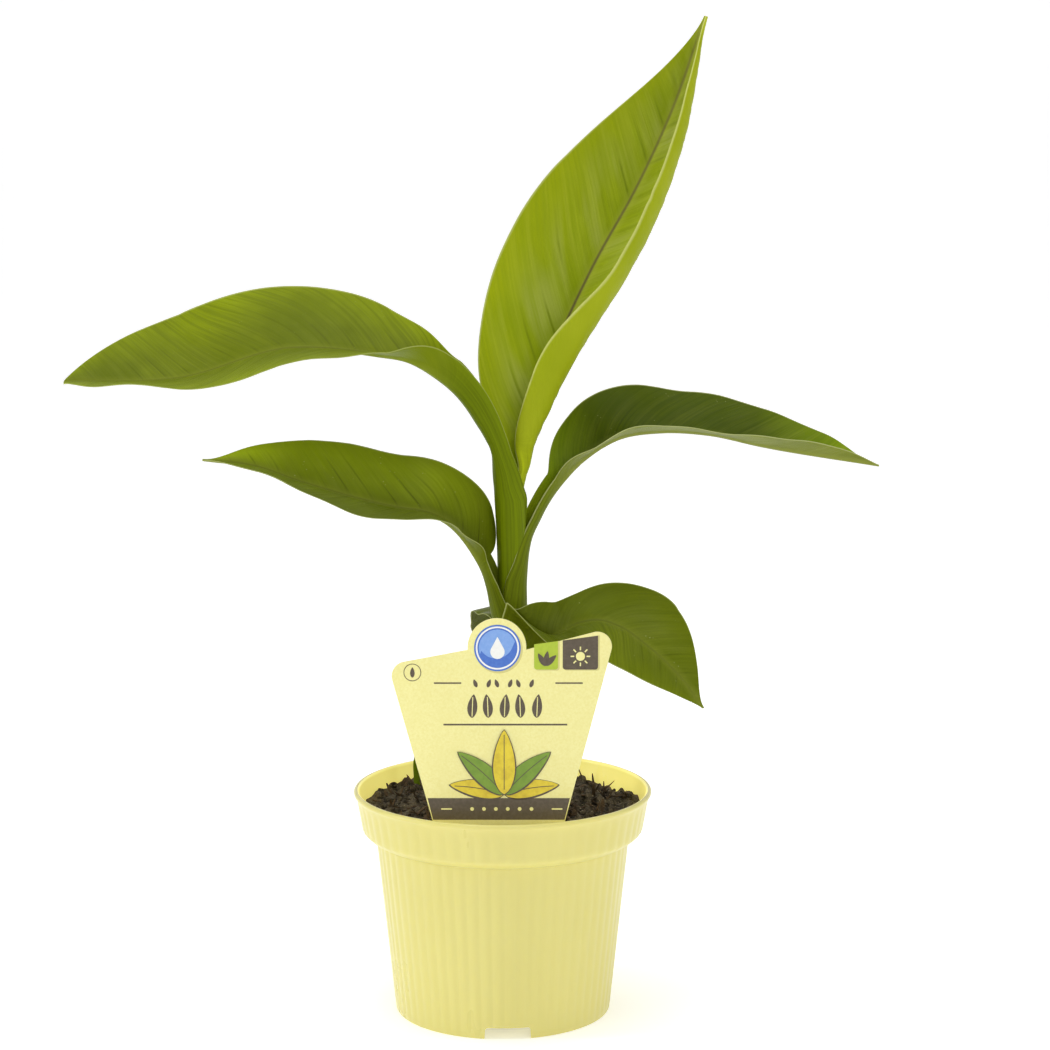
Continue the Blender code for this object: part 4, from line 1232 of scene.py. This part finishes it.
def bark_bit(build):
    """A shred of brown bark lying on the soil or tipped up out of it."""
    x, y = soil_place(outer=0.057)
    length = rng.uniform(0.0025, 0.0085)
    turn = rng.uniform(0, math.tau)
    tip = rng.uniform(-0.15, 0.90) ** 3 * 3.0
    direction = (math.cos(turn), math.sin(turn), tip)
    if math.hypot(x + direction[0] * length, y + direction[1] * length) > SOIL_EDGE:
        return
    start = (x, y, float(soil_level(x, y)) + 0.0003)
    width, thick, bend = rng.uniform(0.0008, 0.0020), rng.uniform(0.0003, 0.0007), rng.uniform(-0.5, 0.5)
    strip(build, start, direction, length, width, thick, bend)


def fibre(build):
    """A thin root fibre curling over the soil."""
    x, y = soil_place(outer=0.056)
    turn = rng.uniform(0, math.tau)
    length = rng.uniform(0.004, 0.010)
    direction = (math.cos(turn), math.sin(turn), rng.uniform(0.2, 1.1))
    if math.hypot(x + direction[0] * length, y + direction[1] * length) > SOIL_EDGE:
        return
    start = (x, y, float(soil_level(x, y)) - 0.0002)
    strip(build, start, direction, length, 0.00028, 0.00024, rng.uniform(-2.0, -0.8), 0.5, 10)


# ---------------------------------------------------------------- label

CARD_SLOPE = (CARD_RIGHT_HEIGHT - CARD_LEFT_HEIGHT) / (2 * CARD_SHOULDER_HALF_WIDTH)  # of its top edge


def card_outline():
    """The card's outline in its own plane, (across, up) from the middle of its foot."""
    shoulder, corner = CARD_SHOULDER_HALF_WIDTH, CARD_CORNER_RADIUS
    tilt = math.degrees(math.atan(CARD_SLOPE))
    left_flare = math.degrees(math.atan2(CARD_LEFT_HEIGHT, shoulder - CARD_FOOT_LEFT))
    right_flare = math.degrees(math.atan2(CARD_RIGHT_HEIGHT, shoulder - CARD_FOOT_RIGHT))
    left = (-shoulder + corner, CARD_LEFT_HEIGHT - corner)
    right = (shoulder - corner, CARD_RIGHT_HEIGHT - corner)
    sunk = CARD_HEAD_CENTRE[1] - CARD_LEFT_HEIGHT - 0.0050
    half_angle = math.degrees(math.acos(sunk / CARD_HEAD_RADIUS))
    outline = [(-CARD_FOOT_LEFT, 0)]
    outline += arc(left, corner, 270 - left_flare, 90 + tilt, 20)
    outline += arc(CARD_HEAD_CENTRE, CARD_HEAD_RADIUS, 270 - half_angle, -90 + half_angle, 72)
    outline += arc(right, corner, 90 + tilt, right_flare - 90, 20)
    stake = STAKE_HALF_WIDTH
    outline += [(CARD_FOOT_RIGHT, 0), (stake, STAKE_SHOULDER), (stake, STAKE_TIP + 2 * stake)]
    outline += [(0, STAKE_TIP), (-stake, STAKE_TIP + 2 * stake), (-stake, STAKE_SHOULDER)]
    return outline


CARD_PLACE = Matrix.Translation(CARD_FOOT) @ Matrix.Rotation(math.radians(90) - CARD_LEAN, 4, "X")


def plate_mesh(name, outlines, low, high, material, bevel=0.0):
    """Flat outlines extruded from one level of the card's plane to another, stood up as the card stands."""
    curve = bpy.data.curves.new(name, "CURVE")
    curve.dimensions = "2D"
    curve.fill_mode = "BOTH"
    curve.extrude = (high - low) / 2 - bevel
    curve.bevel_depth = bevel
    curve.bevel_resolution = 2
    for outline in outlines:
        spline = curve.splines.new("POLY")
        spline.points.add(len(outline) - 1)
        spline.use_cyclic_u = True
        for point, (across, up) in zip(spline.points, outline):
            point.co = (across, up, 0, 1)
    mesh = applied(in_scene(name, curve))
    build = bmesh.new()
    build.from_mesh(mesh)
    bmesh.ops.remove_doubles(build, verts=build.verts, dist=0.000001)
    bmesh.ops.translate(build, verts=build.verts, vec=(0, 0, (low + high) / 2))
    bmesh.ops.transform(build, matrix=CARD_PLACE, verts=build.verts)
    bmesh.ops.recalc_face_normals(build, faces=build.faces)
    build.to_mesh(mesh)
    build.free()
    mesh.name = name
    surfaced(mesh, material)
    return mesh


CARD_FRONT = CARD_THICKNESS / 2
INK = 0.00006  # how far each printed layer stands on the one below


def printed(name, outlines, layer, material):
    """A printed shape: a skin a few hundredths of a millimetre thick on the card's front."""
    low = CARD_FRONT + INK * (layer - 1)
    add_piece(name, plate_mesh(name, outlines, low + 0.00001, low + INK, material), "label_card")


def bar(left, right, low, high):
    return [(left, low), (right, low), (right, high), (left, high)]


def off(point, across, up):
    return (point[0] + across, point[1] + up)


def disc(centre, radius):
    return arc(centre, radius, 0, 354, 59)


def ring(centre, outer, inner):
    return [disc(centre, outer), disc(centre, inner)]


def moved(outline, centre, turn=0.0):
    """The outline turned by degrees about its own zero, which goes to the centre."""
    c, s = math.cos(math.radians(turn)), math.sin(math.radians(turn))
    return [(centre[0] + x * c - y * s, centre[1] + x * s + y * c) for x, y in outline]


def paddle(length, width, bend=0.0):
    """A paddle-shaped leaf standing up from its foot, bent to one side."""
    sides = ([], [])
    for share in (k / 22 for k in range(23)):
        half = width / 2 * math.sin(math.pi * share**0.8) ** 0.75
        x = bend * share**2
        sides[0].append((x - half, share * length))
        sides[1].append((x + half, share * length))
    return sides[0] + sides[1][::-1][1:-1]


def drop(radius):
    """A water drop, point upwards."""
    sweep = arc((0, 0), radius, 150, 390, 30)
    return sweep + [(0, radius * 2.1)]


def side_edge(height, foot, top):
    """Distance from the card's middle to its slanting side."""
    return foot - 0.0002 + (CARD_SHOULDER_HALF_WIDTH - foot) * height / top


def tab(left, right, low):
    """A tab under the card's sloping top edge, with rounded lower corners."""
    radius = 0.0012
    top = (CARD_RIGHT_HEIGHT + CARD_LEFT_HEIGHT) / 2 - 0.0007
    return (
        [(left, top + left * CARD_SLOPE)]
        + arc((left + radius, low + radius), radius, 180, 270, 6)
        + arc((right - radius, low + radius), radius, 270, 360, 6)
        + [(right, top + right * CARD_SLOPE)]
    )


FRIEZE_PLACES = [(-0.0125 + 0.0068 * k, 0.0448) for k in range(5)]
FRIEZE_BENDS = (1, -1, 1, -1, 1)
BUDS_LEFT = (-0.0105, 0.0577)
BUD_SPACING = 0.0045
BUD_LEAN = 20
BADGE = (-0.0375, 0.0640)
SUN = (0.0330, 0.0708)
SPRIG = (0.0186, 0.0668)
BAND = (0.0016, 0.0108)  # heights of the printed band's lower and upper edge
BAND_DOTS = [(-0.0125 + 0.0050 * k, 0.0062) for k in range(6)]
FAN_FOOT = (0.0010, 0.0125)
FAN_EDGE = 0.00035  # how far a fan leaf's outline shows round it
RIB_HALF_WIDTH = 0.00015


def make_label():
    paper = card_paper("card paper", (0.905, 0.850, 0.365), (0.855, 0.790, 0.300))
    brown = ink("brown ink", (0.090, 0.068, 0.042), (0.115, 0.088, 0.058))
    blue = ink("blue ink", (0.060, 0.160, 0.560), (0.075, 0.190, 0.600))
    sky = ink("light blue ink", (0.200, 0.370, 0.760), (0.240, 0.410, 0.790))
    white = ink("white ink", (0.900, 0.900, 0.860), (0.860, 0.860, 0.820))
    green = ink("green ink", (0.440, 0.560, 0.035), (0.400, 0.520, 0.030))
    dark_green = ink("dark green ink", (0.200, 0.330, 0.030), (0.160, 0.280, 0.025), 300)
    yellow = ink("yellow ink", (0.780, 0.620, 0.035), (0.640, 0.480, 0.025), 260)
    shade = ink("shade ink", (0.690, 0.630, 0.240), (0.660, 0.600, 0.220))

    card = plate_mesh("label_board", [card_outline()], -CARD_FRONT, CARD_FRONT, paper, 0.00012)
    smooth(card, 30)
    add_piece("label_board", card, "label_card", "plant_label")

    head = off(CARD_HEAD_CENTRE, 0.0002, -0.0002)
    printed("print_disc_shade", [disc(off(head, 0.0006, -0.0007), 0.0100)], 1, shade)
    printed("print_disc", [disc(head, 0.0098)], 2, blue)
    printed("print_disc_ring", ring(head, 0.0091, 0.0084), 3, white)
    gloss = arc(off(head, -0.0006, 0.0030), 0.0074, 205, 340, 16)[1:-1]
    printed("print_disc_gloss", [arc(head, 0.0078, 20, 200, 30) + gloss], 3, sky)
    printed("print_disc_drop", [moved(drop(0.0030), off(head, 0, -0.0016))], 4, white)

    printed("print_tab_shade", [tab(0.0141, 0.0243, 0.0648), tab(0.0262, 0.0411, 0.0648)], 1, shade)
    printed("print_tab_green", [tab(0.0136, 0.0236, 0.0652)], 2, green)
    printed("print_tab_brown", [tab(0.0256, 0.0404, 0.0652)], 2, brown)
    for layer, (end, turn) in enumerate((("", -38), ("_middle", 0), ("_left", 38)), 3):
        printed("print_tab_sprig" + end, [moved(paddle(0.0062, 0.0024, 0.0006), SPRIG, turn)], layer, brown)
    rays = [moved(bar(-0.00028, 0.00028, 0.0026, 0.0041), SUN, 45 * k) for k in range(8)]
    printed("print_tab_sun", [arc(SUN, 0.0019, 0, 350, 35), *rays], 3, paper)

    rules = [bar(-0.0285, -0.0170, 0.0592, 0.0598), bar(0.0225, 0.0340, 0.0592, 0.0598)]
    printed("print_rules", [*rules, bar(-0.0245, 0.0275, 0.0416, 0.0423)], 1, brown)
    buds = [
        moved(paddle(0.0036, 0.0017), (BUDS_LEFT[0] + BUD_SPACING * k, BUDS_LEFT[1]), BUD_LEAN * (-1) ** k)
        for k in range(6)
    ]
    printed("print_buds", buds, 1, brown)
    frieze = list(zip(FRIEZE_PLACES, FRIEZE_BENDS))
    leaves = [moved(paddle(0.0100, 0.0042, 0.0008 * bend), place) for place, bend in frieze]
    printed("print_frieze", leaves, 1, brown)
    slit = bar(-0.00018, 0.00018, 0.0006, 0.0088)
    printed("print_frieze_ribs", [moved(slit, place, -2.2 * bend) for place, bend in frieze], 2, paper)
    printed("print_badge", ring(BADGE, 0.0037, 0.0034), 1, brown)
    printed("print_badge_leaf", [moved(paddle(0.0044, 0.0019), off(BADGE, 0, -0.0022))], 1, brown)

    outer, inner, middle = (0.0230, 0.0074), (0.0262, 0.0082), (0.0272, 0.0092)
    fan = (
        (-74, outer, yellow), (74, outer, yellow), (-42, inner, dark_green), (42, inner, dark_green),
        (0, middle, yellow),
    )
    for k, (lean, (length, width), colour) in enumerate(fan):
        bend = 0.0024 if lean < 0 else -0.0024 if lean else 0
        back = paddle(length + 2 * FAN_EDGE, width + 0.0010, bend)
        back = moved(back, off(FAN_FOOT, 0, -FAN_EDGE), lean)
        printed(f"print_fan_edge_{k + 1}", [back], 1 + 2 * k, brown)
        leaf = moved(paddle(length, width, bend), FAN_FOOT, lean)
        printed(f"print_fan_leaf_{k + 1}", [leaf], 2 + 2 * k, colour)
        rib = [(bend * (j / 12) ** 2, 0.002 + (length - 0.004) * j / 12) for j in range(13)]
        sides = [off(place, -RIB_HALF_WIDTH, 0) for place in rib]
        sides += [off(place, RIB_HALF_WIDTH, 0) for place in reversed(rib)]
        printed(f"print_fan_rib_{k + 1}", [moved(sides, FAN_FOOT, lean)], 3 + 2 * k, brown)

    left = [(-side_edge(height, CARD_FOOT_LEFT, CARD_LEFT_HEIGHT), height) for height in BAND]
    right = [(side_edge(height, CARD_FOOT_RIGHT, CARD_RIGHT_HEIGHT), height) for height in BAND]
    printed("print_band", [[left[0], *right, left[1]]], 1, brown)
    dots = [arc(place, 0.0008, 0, 340, 17) for place in BAND_DOTS]
    dashes = [bar(-0.0255, -0.0210, 0.0059, 0.0065), bar(0.0210, 0.0255, 0.0059, 0.0065)]
    printed("print_band_marks", dashes + dots, 2, paper)


# ---------------------------------------------------------------- stage, lights and camera


def make_stage():
    """A pale floor that curves up into a backdrop."""
    s = Shader("stage")
    s.set(
        Base_Color=(0.93, 0.93, 0.93), Roughness=0.9, Specular_IOR_Level=0.1, Emission_Color=(1, 1, 1),
        Emission_Strength=0.35,
    )
    bend, radius, top = 2.2, 1.0, 4.5
    profile = [(-4.0, 0.0), (bend, 0.0)]
    turns = np.linspace(0.1, math.pi / 2, 16)
    profile += [(bend + radius * math.sin(t), radius - radius * math.cos(t)) for t in turns]
    profile += [(bend + radius, top)]
    points = [(x, y, z) for x in (-4.5, 4.5) for y, z in profile]
    count = len(profile)
    faces = [(k, k + count, k + 1 + count, k + 1) for k in range(count - 1)]
    floor = in_scene("stage_floor", mesh_from("stage_floor", points, faces, s.material, angle=60))


PLANT_MIDDLE = Vector((0, 0, 0.2))
AMBIENT = 0.45


def add_light(name, place, size, power):
    """A soft white light turned to the plant's middle."""
    data = bpy.data.lights.new(name, "AREA")
    data.shape = "RECTANGLE"
    data.size, data.size_y = size
    data.energy = power
    light = in_scene(name, data)
    light.location = place
    light.rotation_euler = (PLANT_MIDDLE - Vector(place)).to_track_quat("-Z", "Y").to_euler()


def make_lights():
    world = bpy.data.worlds.new("studio")
    world.use_nodes = True
    background = world.node_tree.nodes["Background"]
    background.inputs["Color"].default_value = (1, 1, 1, 1)
    background.inputs["Strength"].default_value = AMBIENT
    bpy.context.scene.world = world
    add_light("key_left", (-1.6, -0.25, 0.6), (0.26, 1.3), 9)
    add_light("front", (0.7, -2.0, 1.0), (1.2, 1.0), 7.5)
    add_light("top", (-0.2, -0.1, 1.9), (1.2, 1.2), 14)
    add_light("fill_right", (1.8, -0.2, 0.7), (0.7, 1.4), 4)


CAMERA_PLACE = (0.00976, -1.2, 0.4026)
CAMERA_DIP = 0.1552  # how far it looks down, in radians
CAMERA_LENS = 96.58


def make_camera():
    data = bpy.data.cameras.new("camera")
    data.sensor_width = 36
    data.lens = CAMERA_LENS
    data.clip_start = 0.01
    camera = in_scene("camera", data)
    camera.location = CAMERA_PLACE
    camera.rotation_euler = (math.radians(90) - CAMERA_DIP, 0, 0)
    bpy.context.scene.camera = camera


make_camera()
make_stage()
make_lights()
bpy.context.scene.view_settings.view_transform = "Standard"

# The inside copy glows: painted light through the wall.
make_pot(plastic("pot plastic"), plastic("pot inside", 0.64))
dark_peat = peat("dark peat", (0.150, 0.120, 0.080), (0.032, 0.025, 0.016), (0.440, 0.360, 0.235))
make_soil(dark_peat)
scattered("peat_crumbs", 620, crumb, dark_peat)
bark = peat("bark", (0.120, 0.075, 0.038), (0.035, 0.024, 0.015), (0.300, 0.210, 0.120))
scattered("bark_bits", 420, bark_bit, bark)
root = peat("fibre", (0.060, 0.038, 0.020), (0.030, 0.020, 0.012), (0.120, 0.085, 0.050))
scattered("root_fibres", 60, fibre, root)
make_label()
make_stem(stem_skin("stem skin"))
for leaf in LEAVES:
    upper = leaf_skin(leaf.name + " upper", leaf.neck, **leaf.skin)
    lower = leaf_back(leaf.name + " under", leaf.neck, **leaf.under)
    add_piece(leaf.piece, leaf_mesh(leaf, upper, lower), leaf.slot, *leaf.nodes)
